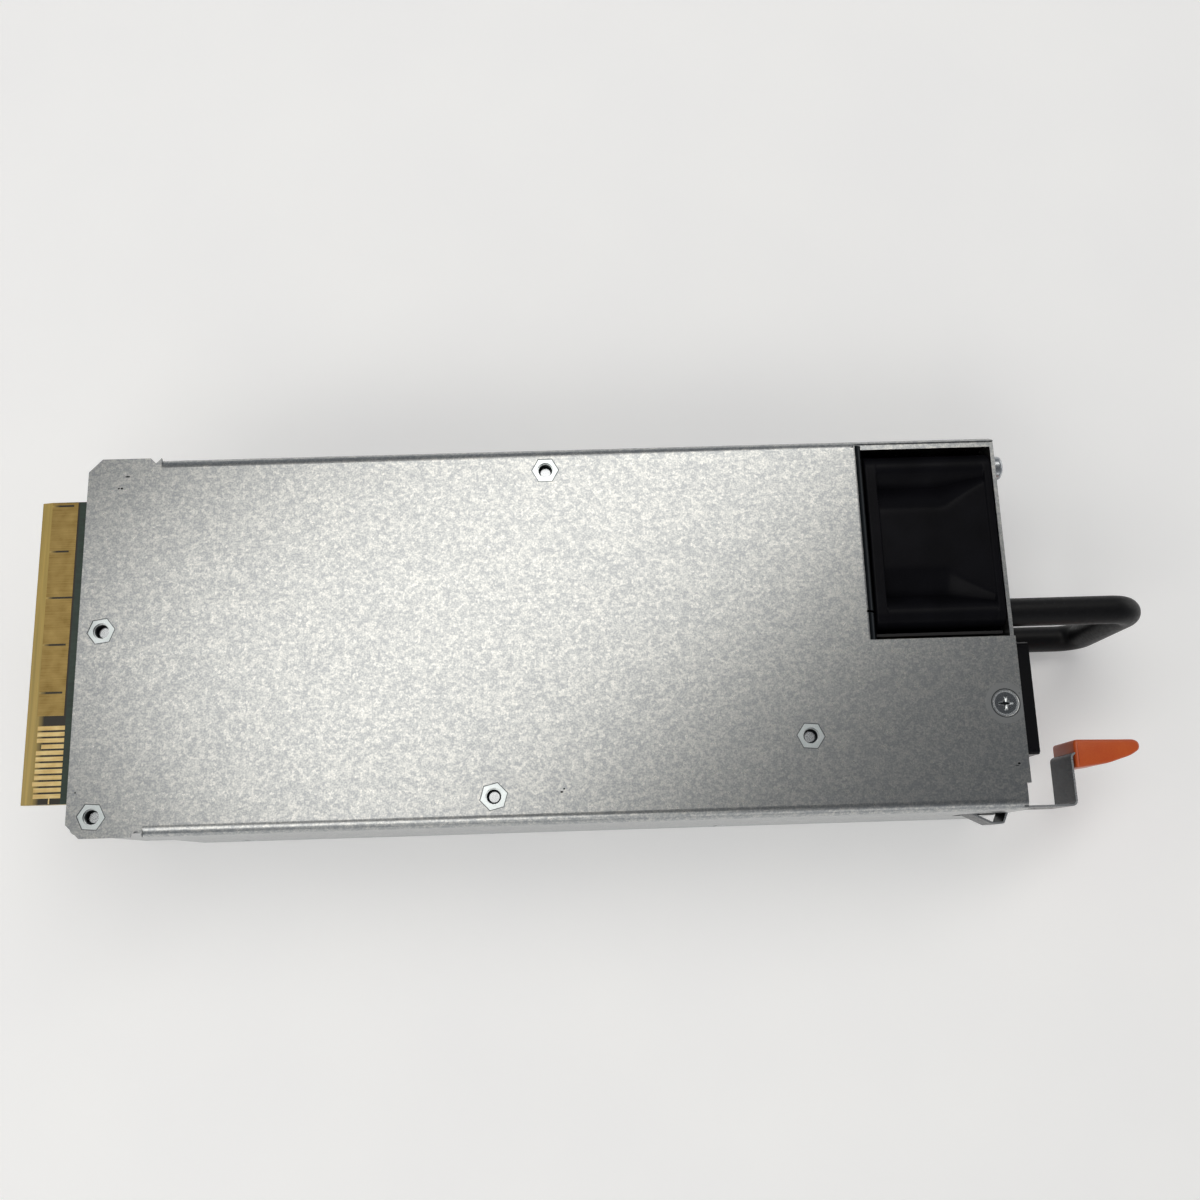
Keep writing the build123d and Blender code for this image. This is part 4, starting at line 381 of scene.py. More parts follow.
@dataclass(frozen=True)
class ZincSheet(Finish):
    """Hot dip zinc coated steel sheet.

    Small crystals of zinc catch the light at slightly different angles, over soft clouds and the
    fine lines of the rolling mill. The finest crystals are under a pixel wide, so they are drawn
    0.36 mm wide to show.
    """

    name: str = "zinc_coated_steel"
    dark: str = "#9A9DA0"
    light: str = "#C5C5C2"
    middle: str = "#AFB1B1"
    crystal: float = 0.6
    fine: float = 0.36
    marks: tuple[Mark, ...] = ()
    # Painted reflections, laid only on the faces that are not square to Z, such as bends
    painted_bend_reflections: tuple[Mark, ...] = ()

    def material(self) -> bpy.types.Material:
        """Builds the material."""
        surface = Surface(self.name, Metallic=1.0)
        cell = {"Vector": surface.place, "Scale": 1.0 / (self.crystal * MM), "Smoothness": 1.0}
        crystals = surface.add("ShaderNodeTexVoronoi", cell, "Color", feature="SMOOTH_F1")
        facet = surface.add("ShaderNodeSeparateColor", {"Color": crystals}, "Red")
        clouds = surface.grain(5.0, detail=4.0)
        fine = surface.grain(self.fine, detail=1.0)
        broad = surface.add("ShaderNodeMix", {"Factor": 0.15, "A": facet, "B": clouds})
        mixed = surface.add("ShaderNodeMix", {"Factor": 0.65, "A": broad, "B": fine})
        colour = surface.tint(mixed, {0.34: self.dark, 0.5: self.middle, 0.66: self.light})
        # Faces square to Z take the marks; the other faces take the painted reflections of the bends
        sides = {"Factor": surface.level_faces(), 6: surface.marked(colour, self.painted_bend_reflections),
                 7: surface.marked(colour, self.marks)}
        colour = surface.add("ShaderNodeMix", sides, 2, data_type="RGBA")
        streaks = surface.grain(0.9, Across.ALONG_X)
        dull = surface.add("ShaderNodeMix", {"Factor": 0.35, "A": mixed, "B": streaks})
        return surface.finished(colour, dull, (0.32, 0.26), Relief(fine, 0.002), Relief(streaks, 0.002))


@dataclass(frozen=True)
class WorkedMetal(Finish):
    """Bare or plated metal that was drawn, turned, rolled or ground.

    Fine lines along the working direction break up the shine, with soft stains from handling, whose
    share of the pattern is stained. Faces square to Z may have colours of their own, for a fresh
    cut edge or a turned end; the other faces may then be painted dark as shade or as a dark
    reflection.
    """

    along: Across = Across.NONE
    line: float = 0.25
    smooth: float = 0.22
    rough: float = 0.4
    depth: float = 0.006
    stain: float = 4.0
    octaves: float = 3.0
    stained: float = 0.5
    light_from: float = 0.7
    flat_dark: str = ""
    flat_light: str = ""
    marks: tuple[Mark, ...] = ()

    def material(self) -> bpy.types.Material:
        """Builds the material."""
        surface = Surface(self.name, Metallic=1.0)
        lines = surface.grain(self.line, self.along, 3.0)
        stains = surface.grain(self.stain, detail=self.octaves)
        mixed = surface.add("ShaderNodeMix", {"Factor": self.stained, "A": lines, "B": stains})
        colour = surface.tint(mixed, {0.3: self.dark, self.light_from: self.light})
        if self.flat_dark:
            cut = surface.tint(mixed, {0.3: self.flat_dark, self.light_from: self.flat_light})
            layers = {"Factor": surface.level_faces(), 6: colour, 7: cut}
            colour = surface.add("ShaderNodeMix", layers, 2, data_type="RGBA")
        colour = surface.marked(colour, self.marks)
        return surface.finished(colour, mixed, (self.rough, self.smooth), Relief(lines, self.depth))


@dataclass(frozen=True)
class GoldPlating(WorkedMetal):
    """Gold plating on copper pads, dulled and scratched along the way it slides in."""

    name: str = "gold_plating"
    dark: str = "#8C7444"
    light: str = "#B2985F"
    along: Across = Across.ALONG_X
    line: float = 0.22
    smooth: float = 0.34
    rough: float = 0.48
    depth: float = 0.004
    stain: float = 2.4
    octaves: float = 4.0
    stained: float = 0.55
    light_from: float = 0.68


@dataclass(frozen=True)
class Moulding(Finish):
    """Injection moulded or moulded-on polymer.

    The spark eroded tool leaves a fine even grain; the colour drifts a little and handled places
    are glossier.
    """

    grain: float = 0.16
    depth: float = 0.012
    smooth: float = 0.34
    rough: float = 0.52
    shine: float = 0.5
    coat: float = 0.0
    scatter: float = 0.0
    scatter_depth: float = 0.6

    def material(self) -> bpy.types.Material:
        """Builds the material."""
        surface = Surface(self.name, Specular_IOR_Level=self.shine, Coat_Weight=self.coat,
                          Subsurface_Weight=self.scatter)
        if self.scatter:
            surface.shader.inputs["Subsurface Scale"].default_value = self.scatter_depth * MM
        grain = surface.grain(self.grain)
        drift = surface.grain(7.0, detail=4.0)
        mixed = surface.add("ShaderNodeMix", {"Factor": 0.3, "A": drift, "B": grain})
        colour = surface.tint(mixed, {0.35: self.dark, 0.75: self.light})
        return surface.finished(colour, drift, (self.rough, self.smooth), Relief(grain, self.depth))


@dataclass(frozen=True)
class PowderCoat(Finish):
    """Powder coat on steel bar: orange peel relief with pinpoint dust and rubbed spots."""

    name: str = "black_powder_coat"
    dark: str = "#0E0E10"
    light: str = "#2A2A2D"
    peel: float = 0.7
    speck: float = 0.35

    def material(self) -> bpy.types.Material:
        """Builds the material."""
        surface = Surface(self.name, Specular_IOR_Level=0.2)
        peel = surface.grain(self.peel, detail=1.0)
        dust = surface.grain(self.speck)
        colour = surface.tint(dust, {0.0: self.dark, 0.66: self.dark, 0.8: self.light})
        return surface.finished(colour, peel, (0.36, 0.5), Relief(peel, 0.02), Relief(dust, 0.006))


@dataclass(frozen=True)
class CircuitBoard(Finish):
    """Glass epoxy board under green solder mask, bare and bevelled at the card edge.

    The mask darkens between hidden tracks; the laminate shows its woven glass, amber in the light.
    """

    name: str = "glass_epoxy_board"
    dark: str = "#10231A"
    light: str = "#1D372A"
    mask_from: float = -1000.0
    mask_ease: float = 0.2
    bevel_to: float = -1000.0
    fade: float = 1.4
    etched: str = "#211B0C"
    laminate: str = "#9C8748"
    bevel: str = "#B79C54"
    weave: float = 0.6
    track: float = 7.2

    def material(self) -> bpy.types.Material:
        """Builds the material, whose mask starts at a set X."""
        surface = Surface(self.name, IOR=1.55)
        sizes = {"Vector": surface.place, "Scale": 1.0 / (self.track * MM), "Mortar Size": 0.03,
                 "Brick Width": 0.9, "Row Height": 0.16}
        tracks = surface.add("ShaderNodeTexBrick", sizes, "Fac")
        clouds = surface.grain(1.8, detail=3.0)
        mixed = surface.add("ShaderNodeMix", {"Factor": 0.12, "A": clouds, "B": tracks})
        mask = surface.tint(mixed, {0.2: self.dark, 0.75: self.light})
        weave = surface.grain(self.weave, Across.ALONG_Y, 1.0)
        bare = surface.tint(weave, {0.3: self.laminate, 0.7: self.bevel})
        along = surface.add("ShaderNodeSeparateXYZ", {"Vector": surface.place}, "X")
        shares = []
        for start, ease in ((self.mask_from, self.mask_ease), (self.bevel_to, self.fade)):
            limits = {"Value": along, "From Min": start * MM, "From Max": (start + ease) * MM}
            shares.append(surface.add("ShaderNodeMapRange", limits))
        masked = {"Factor": shares[0], 6: linear(self.etched), 7: mask}
        covered = surface.add("ShaderNodeMix", masked, 2, data_type="RGBA")
        steps = {0: shares[1], 1: surface.level_faces()}
        inner = surface.add("ShaderNodeMath", steps, operation="MULTIPLY")
        layers = {"Factor": inner, 6: bare, 7: covered}
        colour = surface.add("ShaderNodeMix", layers, 2, data_type="RGBA")
        return surface.finished(colour, clouds, (0.42, 0.28), Relief(tracks, 0.02, 0.4))


@dataclass(frozen=True)
class Sheeting(Finish):
    """Thin film, paper or tape with faint fibres and a soft sheen."""

    fibre: float = 0.8
    rough: float = 0.55

    def material(self) -> bpy.types.Material:
        """Builds the material."""
        surface = Surface(self.name, IOR=1.49)
        fibres = surface.grain(self.fibre, Across.ALONG_X, 4.0)
        clouds = surface.grain(12.0)
        mixed = surface.add("ShaderNodeMix", {"Factor": 0.5, "A": fibres, "B": clouds})
        colour = surface.tint(mixed, {0.3: self.dark, 0.7: self.light})
        return surface.finished(colour, fibres, (self.rough, self.rough + 0.12), Relief(fibres, 0.01))


@dataclass(frozen=True)
class Fired(Finish):
    """Pressed and fired ceramic or ferrite: granular, with darker pores."""

    grit: float = 0.35
    rough: float = 0.55

    def material(self) -> bpy.types.Material:
        """Builds the material."""
        surface = Surface(self.name, IOR=1.6)
        cell = {"Vector": surface.place, "Scale": 1.0 / (self.grit * MM)}
        grit = surface.add("ShaderNodeTexVoronoi", cell, "Distance")
        clouds = surface.grain(3.0, detail=4.0)
        mixed = surface.add("ShaderNodeMix", {"Factor": 0.4, "A": clouds, "B": grit})
        colour = surface.tint(mixed, {0.25: self.dark, 0.65: self.light})
        return surface.finished(colour, clouds, (self.rough, self.rough + 0.15), Relief(grit, 0.02))


@dataclass(frozen=True)
class Wound(Finish):
    """Turns of enamelled wire or tape: even ridges across the winding direction."""

    pitch: float
    axis: str = "Z"
    metallic: float = 0.0
    rough: float = 0.35

    def material(self) -> bpy.types.Material:
        """Builds the material; the wave repeats every pi / 10 of its own unit."""
        surface = Surface(self.name, Metallic=self.metallic, IOR=1.5)
        ridge = {"Vector": surface.place, "Scale": np.pi / (10 * self.pitch * MM), "Distortion": 0.4}
        shape = {"bands_direction": self.axis, "wave_profile": "SIN"}
        ridges = surface.add("ShaderNodeTexWave", ridge, "Fac", **shape)
        clouds = surface.grain(2.5, detail=3.0)
        mixed = surface.add("ShaderNodeMix", {"Factor": 0.4, "A": ridges, "B": clouds})
        colour = surface.tint(mixed, {0.2: self.dark, 0.8: self.light})
        relief = Relief(ridges, self.pitch * 0.25)
        return surface.finished(colour, clouds, (self.rough, self.rough + 0.15), relief)


@dataclass(frozen=True)
class ClearRod(Finish):
    """Clear acrylic light guide with a faint green cast and polishing lines."""

    name: str = "clear_acrylic"
    dark: str = "#C4D8C6"
    light: str = "#E2EEE2"

    def material(self) -> bpy.types.Material:
        """Builds the material."""
        surface = Surface(self.name, IOR=1.49, Transmission_Weight=0.85)
        clouds = surface.grain(1.5)
        colour = surface.tint(clouds, {0.3: self.dark, 0.7: self.light})
        return surface.finished(colour, clouds, (0.08, 0.2), Relief(clouds, 0.01))


Coats = tuple[tuple[Finish, str], ...]


@dataclass
class Assembly:
    """A sub-assembly that dresses CAD nodes and may add pieces of its own.

    A coat is a finish and the names of the nodes that get it.
    """

    nodes: dict[str, bpy.types.Object]
    coats: Coats = ()

    def build(self) -> None:
        """Gives the CAD nodes their finishes, one material to a finish."""
        for finish, names in self.coats:
            material = finish.material()
            for name in names.split():
                self.paint(self.nodes[name], material)
                LOG.info("dressed %s with %s", name, material.name)

    @staticmethod
    def paint(shape: bpy.types.Object, material: bpy.types.Material) -> None:
        """Puts one material on an object."""
        shape.data.materials.clear()
        shape.data.materials.append(material)


# Nicks and specks of dirt on the floor of the case
NICKS = (
    Mark(-88.2, 35.6, 0.55, 0.16),
    Mark(-89.95, 33.0, 0.22, 0.18),
    Mark(-89.3, 33.0, 0.28, 0.22),
    Mark(-94.9, -30.5, 0.16, 0.16),
    Mark(94.4, -30.4, 0.3, 0.18),
    Mark(94.0, -30.8, 0.45, 0.12, "#6E7173"),
    Mark(2.1, -33.3, 0.3, 0.18),
    Mark(2.6, -32.7, 0.2, 0.16),
)
TIE_SCREW = (93.0, -18.1)
# Painted highlight on the ring of the pressed dimple round the tie screw, and painted shadow under the rim
# of its head
DIMPLE_PAINTED_LIGHT_AND_SHADE = (Mark(*TIE_SCREW, 4.2, 4.2, "#B8BABA", 0.7), Mark(*TIE_SCREW, 3.0, 3.0, "#5E6163", 0.93))
# Painted reflection: the smooth bend beside the fan mirrors something dark in the photograph, so it is
# painted dark
WINDOW_BEND_PAINTED_REFLECTION = (Mark(67.2, 17.0, 8.0, 21.2, "#24272A"),)
# Painted highlight on the rim of the tie screw's head, painted glints on the edges of its cross drive, and
# painted shade on the drive's floor
DRIVE_PAINTED_LIGHT_AND_SHADE = (
    Mark(*TIE_SCREW, 2.6, 2.6, "#E6E9EA", 0.86),
    Mark(*TIE_SCREW, 1.5, 0.5, "#EEF1F2"),
    Mark(*TIE_SCREW, 0.5, 1.5, "#EEF1F2"),
    Mark(*TIE_SCREW, 1.2, 0.26, "#34373A"),
    Mark(*TIE_SCREW, 0.26, 1.2, "#34373A"),
)


@dataclass
class Case(Assembly):
    """Sheet metal case, its fasteners and its blank label."""

    coats: Coats = (
        (ZincSheet(marks=NICKS + DIMPLE_PAINTED_LIGHT_AND_SHADE, painted_bend_reflections=WINDOW_BEND_PAINTED_REFLECTION), "chassis_pan"),
        (ZincSheet("zinc_coated_cover"), "cover"),
        (WorkedMetal("zinc_plated_steel", "#A7ABB0", "#D3D6D8", line=0.18, smooth=0.2, rough=0.34),
         "board_screws cover_screws fan_screws handle_screws"),
        (WorkedMetal("zinc_plated_tie_screw", "#64686C", "#94989C", line=0.18, smooth=0.2,
                     rough=0.34, marks=DRIVE_PAINTED_LIGHT_AND_SHADE), "tie_screw"),
        # Painted shade: the standoffs' faces that are not square to Z, the walls of their bores, are painted
        # dark for the shade in the bores; the faces square to Z show the bright zinc
        (WorkedMetal("bright_zinc_standoff_painted_bore_shade", "#4A4D50", "#6A6D70", line=0.18, smooth=0.24,
                     rough=0.38, flat_dark="#C2CACC", flat_light="#E2E8E9"), "standoffs"),
        (Sheeting("blank_polyester_label", "#DCDBD6", "#ECEBE6", fibre=0.5), "blank_label"),
        (Sheeting("frosted_polycarbonate_film", "#C9C5B4", "#DEDBCC"), "insulator_sheet"),
        (Sheeting("black_polyester_film", "#101012", "#1B1B1E"), "air_baffle"),
    )
    standoffs: tuple[tuple[float, float, float], ...] = (
        (0.2, 34.5, 0.0), (-91.8, 2.3, 8.0), (-91.5, -35.4, -4.0), (-11.5, -33.8, 14.0), (52.8, -23.6, -5.0),
    )
    half_flats: float = 2.4
    # Section of the seam: distance out from the flats, and height
    seam: tuple[tuple[float, float], ...] = ((0.02, 39.7), (0.02, 40.03), (0.17, 40.03), (0.17, 39.7))

    def seam_grid(self, x: float, y: float, turn: float) -> np.ndarray:
        """Ring of metal squeezed up round one clinched hexagon.

        Corner k of a row is centre + (flats + offset) / cos 30 * (cos, sin)(turn + 60 k), where the
        flats are half the width across flats and the offset comes from the section.

        Args:
            x: X of the standoff.
            y: Y of the standoff.
            turn: Degrees that its first corner is turned from X.

        Returns:
            Grid of points, shape (rows, 6, 3).
        """
        section = np.array(self.seam)
        angle = np.radians(turn + 60 * np.arange(6))
        reach = (self.half_flats + section[:, :1]) / np.cos(np.pi / 6)
        tall = np.repeat(section[:, 1:], 6, axis=1)
        return np.stack([x + reach * np.cos(angle), y + reach * np.sin(angle), tall], axis=-1)

    def build(self) -> None:
        """Dresses the case and lays the seams round its standoffs."""
        super().build()
        seams = Skin("standoff_seams")
        for place in self.standoffs:
            seams.add(self.seam_grid(*place), wrap_rows=True)
        # Painted shade: the seams are the squeezed metal round each hexagon, coloured dark for the shade in
        # that joint
        edge = WorkedMetal("squeezed_zinc_painted_shade", "#4C5053", "#6F7376", line=0.2, rough=0.5)
        self.paint(seams.piece("case"), edge.material())


@dataclass
class CardEdge(Assembly):
    """Main board with its plated card edge."""

    coats: Coats = (
        (CircuitBoard(mask_from=-100.5, bevel_to=-106.2), "main_board"),
        (GoldPlating(), "power_pads"),
        (GoldPlating("gold_finger_plating", "#CDAB6C", "#F2DCA2"), "signal_fingers"),
    )


@dataclass
class LoopHandle(Assembly):
    """Handle bent from round bar, coated black."""

    wall_x: float = 96.5
    bar_x: float = 123.6
    top_z: float = 36.0
    low_z: float = 4.0
    y: float = 1.5
    radius: float = 3.0
    corner: float = 5.0
    corner_points: int = 14
    columns: int = 48

    def centre_line(self) -> tuple[np.ndarray, np.ndarray]:
        """Centre line of the bar and the directions across it, in the plane of the loop.

        Each corner is centre + corner radius * (cos a, sin a) over a quarter turn; the direction
        across the bar is the same (cos a, sin a), so it turns from up, through +X, to down.

        Returns:
            Points and directions, both of shape (count, 3).
        """
        quarter = np.linspace(np.pi / 2, 0, self.corner_points)
        turn = np.concatenate([quarter, -quarter[::-1]])
        middle = np.repeat([self.top_z - self.corner, self.low_z + self.corner], self.corner_points)
        bends = np.stack([self.bar_x - self.corner + self.corner * np.cos(turn),
                          middle + self.corner * np.sin(turn)], axis=-1)
        line = np.concatenate([[[self.wall_x, self.top_z]], bends, [[self.wall_x, self.low_z]]])
        angle = np.concatenate([[np.pi / 2], turn, [-np.pi / 2]])
        zero = np.zeros(len(line))
        points = np.stack([line[:, 0], zero + self.y, line[:, 1]], axis=-1)
        return points, np.stack([np.cos(angle), zero, np.sin(angle)], axis=-1)

    def build(self) -> None:
        """Builds the bar: centre + radius * (cos t * across + sin t * Y)."""
        line, across = self.centre_line()
        angle = np.linspace(0, 2 * np.pi, self.columns, endpoint=False)
        beside = np.array([0.0, 1.0, 0.0])
        ring = np.cos(angle)[None, :, None] * across[:, None] + np.sin(angle)[None, :, None] * beside
        skin = Skin("handle_bar")
        skin.add(line[:, None] + self.radius * ring)
        self.paint(skin.piece("case", ("handle",)), PowderCoat().material())


@dataclass
class Latch(Assembly):
    """Spring latch and its moulded finger tab."""

    coats: Coats = (
        # Painted reflection: the spring's faces are painted near black for the dark surroundings that they
        # mirror; its cut edges, the faces square to Z, are near white, partly the bare metal and partly a
        # painted highlight
        (WorkedMetal("rolled_spring_steel_painted_reflection", "#1F2023", "#2F3134", Across.ALONG_X, 0.3, 0.22, 0.34,
                     flat_dark="#D5D7D8", flat_light="#F4F5F5"), "latch_strip latch_root"),
        (WorkedMetal("aluminium_rivet", "#A9ACAE", "#CFD1D2", line=0.2), "latch_rivets"),
    )
    low_z: float = 14.2
    high_z: float = 26.8
    outline: tuple[tuple[float, float], ...] = (
        (111.3, -24.6), (124.4, -24.9), (125.4, -25.6), (125.4, -27.1),
        (123.4, -28.3), (118.4, -29.8), (111.3, -30.7),
    )
    edge: float = 0.7
    corner: float = 0.9
    steps: int = 6

    def tab_grid(self) -> np.ndarray:
        """Tab as its outline carried up Z, drawn in at both ends.

        The outline's corners are eased. Near an end the inset is edge * (1 - cos a) and the height
        edge * (1 - sin a) short of the end, so the rim is a quarter round.

        Returns:
            Grid of points, shape (rows, columns, 3).
        """
        loop = [self.outline[-1], *self.outline, self.outline[0]]
        ring = eased(loop, self.corner, self.steps)[1:-1]
        ahead = np.roll(ring, -1, axis=0) - np.roll(ring, 1, axis=0)
        normal = np.stack([ahead[:, 1], -ahead[:, 0]], axis=-1)
        normal /= np.linalg.norm(normal, axis=1)[:, None]
        if np.sum(normal * (ring - ring.mean(axis=0))) < 0:
            normal = -normal
        quarter = np.linspace(0, np.pi / 2, self.steps)
        inset = self.edge * (1 - np.sin(quarter))
        lift = self.edge * (1 - np.cos(quarter))
        heights = np.concatenate([self.low_z + lift, (self.high_z - lift)[::-1]])
        insets = np.concatenate([inset, inset[::-1]])
        plan = ring[None] - normal[None] * insets[:, None, None]
        tall = np.repeat(heights[:, None, None], len(ring), axis=1)
        return np.concatenate([plan, tall], axis=-1)

    def build(self) -> None:
        """Builds the tab and dresses the spring."""
        super().build()
        skin = Skin("latch_finger_tab")
        skin.add(self.tab_grid())
        finish = Moulding("orange_polycarbonate", "#C65222", "#D4652F", grain=0.3, depth=0.006, smooth=0.3,
                          rough=0.42, coat=0.1, scatter=0.08)
        self.paint(skin.piece("release_latch", ("latch_tab",)), finish.material())


@dataclass
class MainsInlet(Assembly):
    """Mains inlet with its pins and leads."""

    coats: Coats = (
        (Moulding("black_polyamide", "#0B0B0E", "#141418", smooth=0.26, rough=0.4, shine=0.16),
         "inlet_housing"),
        (WorkedMetal("nickel_plated_brass", "#B9B6AC", "#DAD7CC", Across.ALONG_X, 0.2, 0.16, 0.3),
         "inlet_pins"),
        (Moulding("silicone_sleeve", "#1E1E20", "#303033", rough=0.6, smooth=0.5), "inlet_leads"),
    )


@dataclass
class StatusLight(Assembly):
    """Light source and the clear guide to the rear wall."""

    coats: Coats = (
        (ClearRod(), "status_light_pipe"),
        (Moulding("white_lamp_body", "#D8D6CC", "#E8E6DE"), "status_led"),
    )


@dataclass
class Fan(Assembly):
    """Square fan: moulded frame, motor base and rotor."""

    coats: Coats = (
        (WorkedMetal("ground_bearing_steel", "#9FA3A8", "#C9CCD0", line=0.15, smooth=0.12, rough=0.28),
         "fan_shaft fan_bearings"),
        (WorkedMetal("stacked_steel", "#6E7174", "#94979A", line=0.35, rough=0.5), "fan_stator"),
        (Fired("bonded_ferrite_magnet", "#1C1C1D", "#323234", grit=0.2), "fan_magnet_ring"),
        (Wound("enamelled_coil", "#8A4B24", "#C8793F", 0.3, "X", 0.7), "fan_coils"),
        (CircuitBoard("driver_board"), "fan_driver_board"),
        (Moulding("natural_nylon", "#D6D2C2", "#E6E3D6"), "fan_header fan_plug"),
        (Moulding("black_lead_sleeve", "#1C1C1E", "#2E2E31", rough=0.6), "fan_lead"),
    )
    axis_y: float = 17.5
    axis_z: float = 20.0
    front_x: float = 68.5
    rear_x: float = 95.7
    half: float = 19.0
    corner: float = 3.0
    bore: float = 18.2
    front_rim: float = 2.4
    rear_rim: float = 1.7
    sunk: float = 0.45
    barrel: float = 19.67
    flare: float = 22.3
    barrel_length: float = 16.2
    hole_offset: float = 16.0
    tube: float = 2.95
    hub: float = 11.0
    hub_x: float = 72.9
    base_front: float = 93.2
    base_rear: float = 95.2
    blades: int = 7
    tip: float = 17.75
    softness: float = 0.12
    rim_ease: float = 0.35
    rim_round: float = 0.4
    bore_round: float = 0.8
    bore_straight: float = 2.0
    step_half: float = 0.3
    strut_half: tuple[float, float] = (1.0, 1.2)
    strut_power: float = 0.4
    blade_x: float = 82.6
    thickness: float = 0.11
    camber: float = 0.07
    chord: tuple[float, float] = (13.6, 3.6)
    lean: tuple[float, float] = (41.0, 15.0)
    sweep: float = 0.12
    cup_wall: float = 0.8
    cup_gap: float = 0.6
    overlap: float = 0.4
    tiny: float = 0.01
    bearing_tube: tuple[float, float, float] = (77.7, 4.2, 3.02)
    boss: tuple[float, float, float] = (76.7, 2.5, 1.5)
    round_rows: int = 6
    lip_rows: int = 4
    step_rows: int = 9
    middle_rows: int = 30
    bore_rows: int = 8
    strut_rows: int = 8
    strut_columns: int = 28
    blade_rows: int = 18
    blade_points: int = 22
    columns: int = 720
    hub_columns: int = 96
    sleeve_columns: int = 64

    def about(self, x: np.ndarray, radius: np.ndarray, angle: np.ndarray) -> np.ndarray:
        """Points about the fan's axis: (x, axis_y + r cos t, axis_z + r sin t)."""
        y, z = self.axis_y + radius * np.cos(angle), self.axis_z + radius * np.sin(angle)
        return np.stack([x, y, z], axis=-1)

    def turned(self, x: np.ndarray, radius: np.ndarray) -> np.ndarray:
        """Closed rows of points about the axis, each at one place along it.

        Args:
            x: Places along the axis, one for each row.
            radius: Distances from it, shape (rows, columns).

        Returns:
            Grid of points, shape (rows, columns, 3).
        """
        columns = radius.shape[1]
        angle = np.linspace(0, 2 * np.pi, columns, endpoint=False)
        return self.about(np.repeat(x[:, None], columns, axis=1), radius, angle)

    def lathed(self, corners: list[tuple[float, float]], ease: float, steps: int,
               columns: int) -> np.ndarray:
        """Round shape from the corners (x, radius) of its profile, eased over a reach in steps."""
        profile = eased(corners, ease, steps)
        return self.turned(profile[:, 0], np.repeat(profile[:, 1:], columns, axis=1))

    def rounded_square(self, angle: np.ndarray, half: float, corner: float) -> np.ndarray:
        """Distance from the axis to a rounded square.

        A side is met at half / max(|cos|, |sin|). Beyond the straight part it is the far root of
        the line with the corner's circle, b + sqrt(b^2 - (2 k^2 - corner^2)), with
        k = half - corner and b = k (|cos| + |sin|).

        Args:
            angle: Directions round the axis.
            half: Half of the square's size.
            corner: Corner radius.

        Returns:
            Distances, one for each direction.
        """
        c, s = np.abs(np.cos(angle)), np.abs(np.sin(angle))
        side = half / np.maximum(c, s)
        k = half - corner
        b = k * (c + s)
        arc = b + np.sqrt(np.maximum(b ** 2 - (2 * k ** 2 - corner ** 2), 0))
        return np.where(side * np.minimum(c, s) <= k, side, arc)

    def tube_reach(self, angle: np.ndarray) -> np.ndarray:
        """Distance from the axis to the far side of the corner tubes, or 0 where none is met.

        The far root of the line with a circle at (hole, hole): b + sqrt(b^2 - 2 hole^2 + tube^2).

        Args:
            angle: Directions round the axis.

        Returns:
            Distances, one for each direction.
        """
        b = self.hole_offset * (np.abs(np.cos(angle)) + np.abs(np.sin(angle)))
        square = b ** 2 - 2 * self.hole_offset ** 2 + self.tube ** 2
        return np.where(square > 0, b + np.sqrt(np.maximum(square, 0)), 0)

    def outer_radius(self, x: np.ndarray, angle: np.ndarray) -> np.ndarray:
        """Distance from the axis to the frame's outside.

        Between the rims it is the larger of the tubes and of the smaller of barrel and sunken
        square, where the smaller is -s ln(e^(-a/s) + e^(-b/s)), a soft minimum that rounds the
        edges over s. The rims are rounded squares, eased in along the axis and rounded at the ends.

        Args:
            x: Places along the fan.
            angle: Directions round the axis.

        Returns:
            Distances, shape (len(x), len(angle)).
        """
        turn = self.front_x + self.barrel_length
        end = self.rear_x - self.rear_rim
        share = np.clip((x - turn) / (end - turn), 0, 1)[:, None]
        barrel = self.barrel + share * (self.flare - self.barrel)
        square = self.rounded_square(angle, self.half - self.sunk, self.corner)[None]
        soft = self.softness
        middle = -soft * np.log(np.exp(-barrel / soft) + np.exp(-square / soft))
        middle = np.maximum(middle, self.tube_reach(angle)[None])
        rim = self.rounded_square(angle, self.half, self.corner)[None]
        front = np.clip((self.front_x + self.front_rim - x) / self.rim_ease + 0.5, 0, 1)
        rear = np.clip((x - end) / self.rim_ease + 0.5, 0, 1)
        step = np.maximum(front, rear)[:, None]
        step = step * step * (3 - 2 * step)
        lip = np.minimum(x - self.front_x, self.rear_x - x)[:, None]
        return middle + step * (rim - middle) - step * round_gap(lip, self.rim_round)

    def frame_grid(self) -> np.ndarray:
        """Frame as a closed ring: outside, rear face, bore and front face.

        The rows lie closer where the outside steps in from a rim and where an end is rounded. The
        radius comes from outer_radius outside; inside it is the bore's, widened by a quarter round
        at both ends.

        Returns:
            Grid of points, shape (rows, columns, 3).
        """
        angle = np.linspace(0, 2 * np.pi, self.columns, endpoint=False)
        depth = self.rear_x - self.front_x
        rear_rim = depth - self.rear_rim
        rounded = np.linspace(0, self.rim_round, self.round_rows)
        step = np.linspace(-self.step_half, self.step_half, self.step_rows)
        clear = 2 * self.step_half
        lip = np.linspace(clear, self.front_rim - self.rim_round, self.lip_rows)
        middle = np.linspace(self.front_rim + clear, rear_rim - clear, self.middle_rows)
        x = self.front_x + np.concatenate([
            rounded, lip, self.front_rim + step, middle, rear_rim + step, depth - rounded[::-1],
        ])
        mouth = np.linspace(0, self.bore_round, self.round_rows)
        straight = np.linspace(self.bore_straight, depth - self.bore_straight, self.bore_rows)
        inner_x = np.concatenate([mouth, straight, depth - mouth[::-1]])
        inner_r = self.bore + round_gap(np.minimum(inner_x, depth - inner_x), self.bore_round)
        inner_r = np.repeat(inner_r[::-1, None], self.columns, axis=1)
        rows = np.concatenate([x, self.front_x + inner_x[::-1]])
        return self.turned(rows, np.concatenate([self.outer_radius(x, angle), inner_r]))

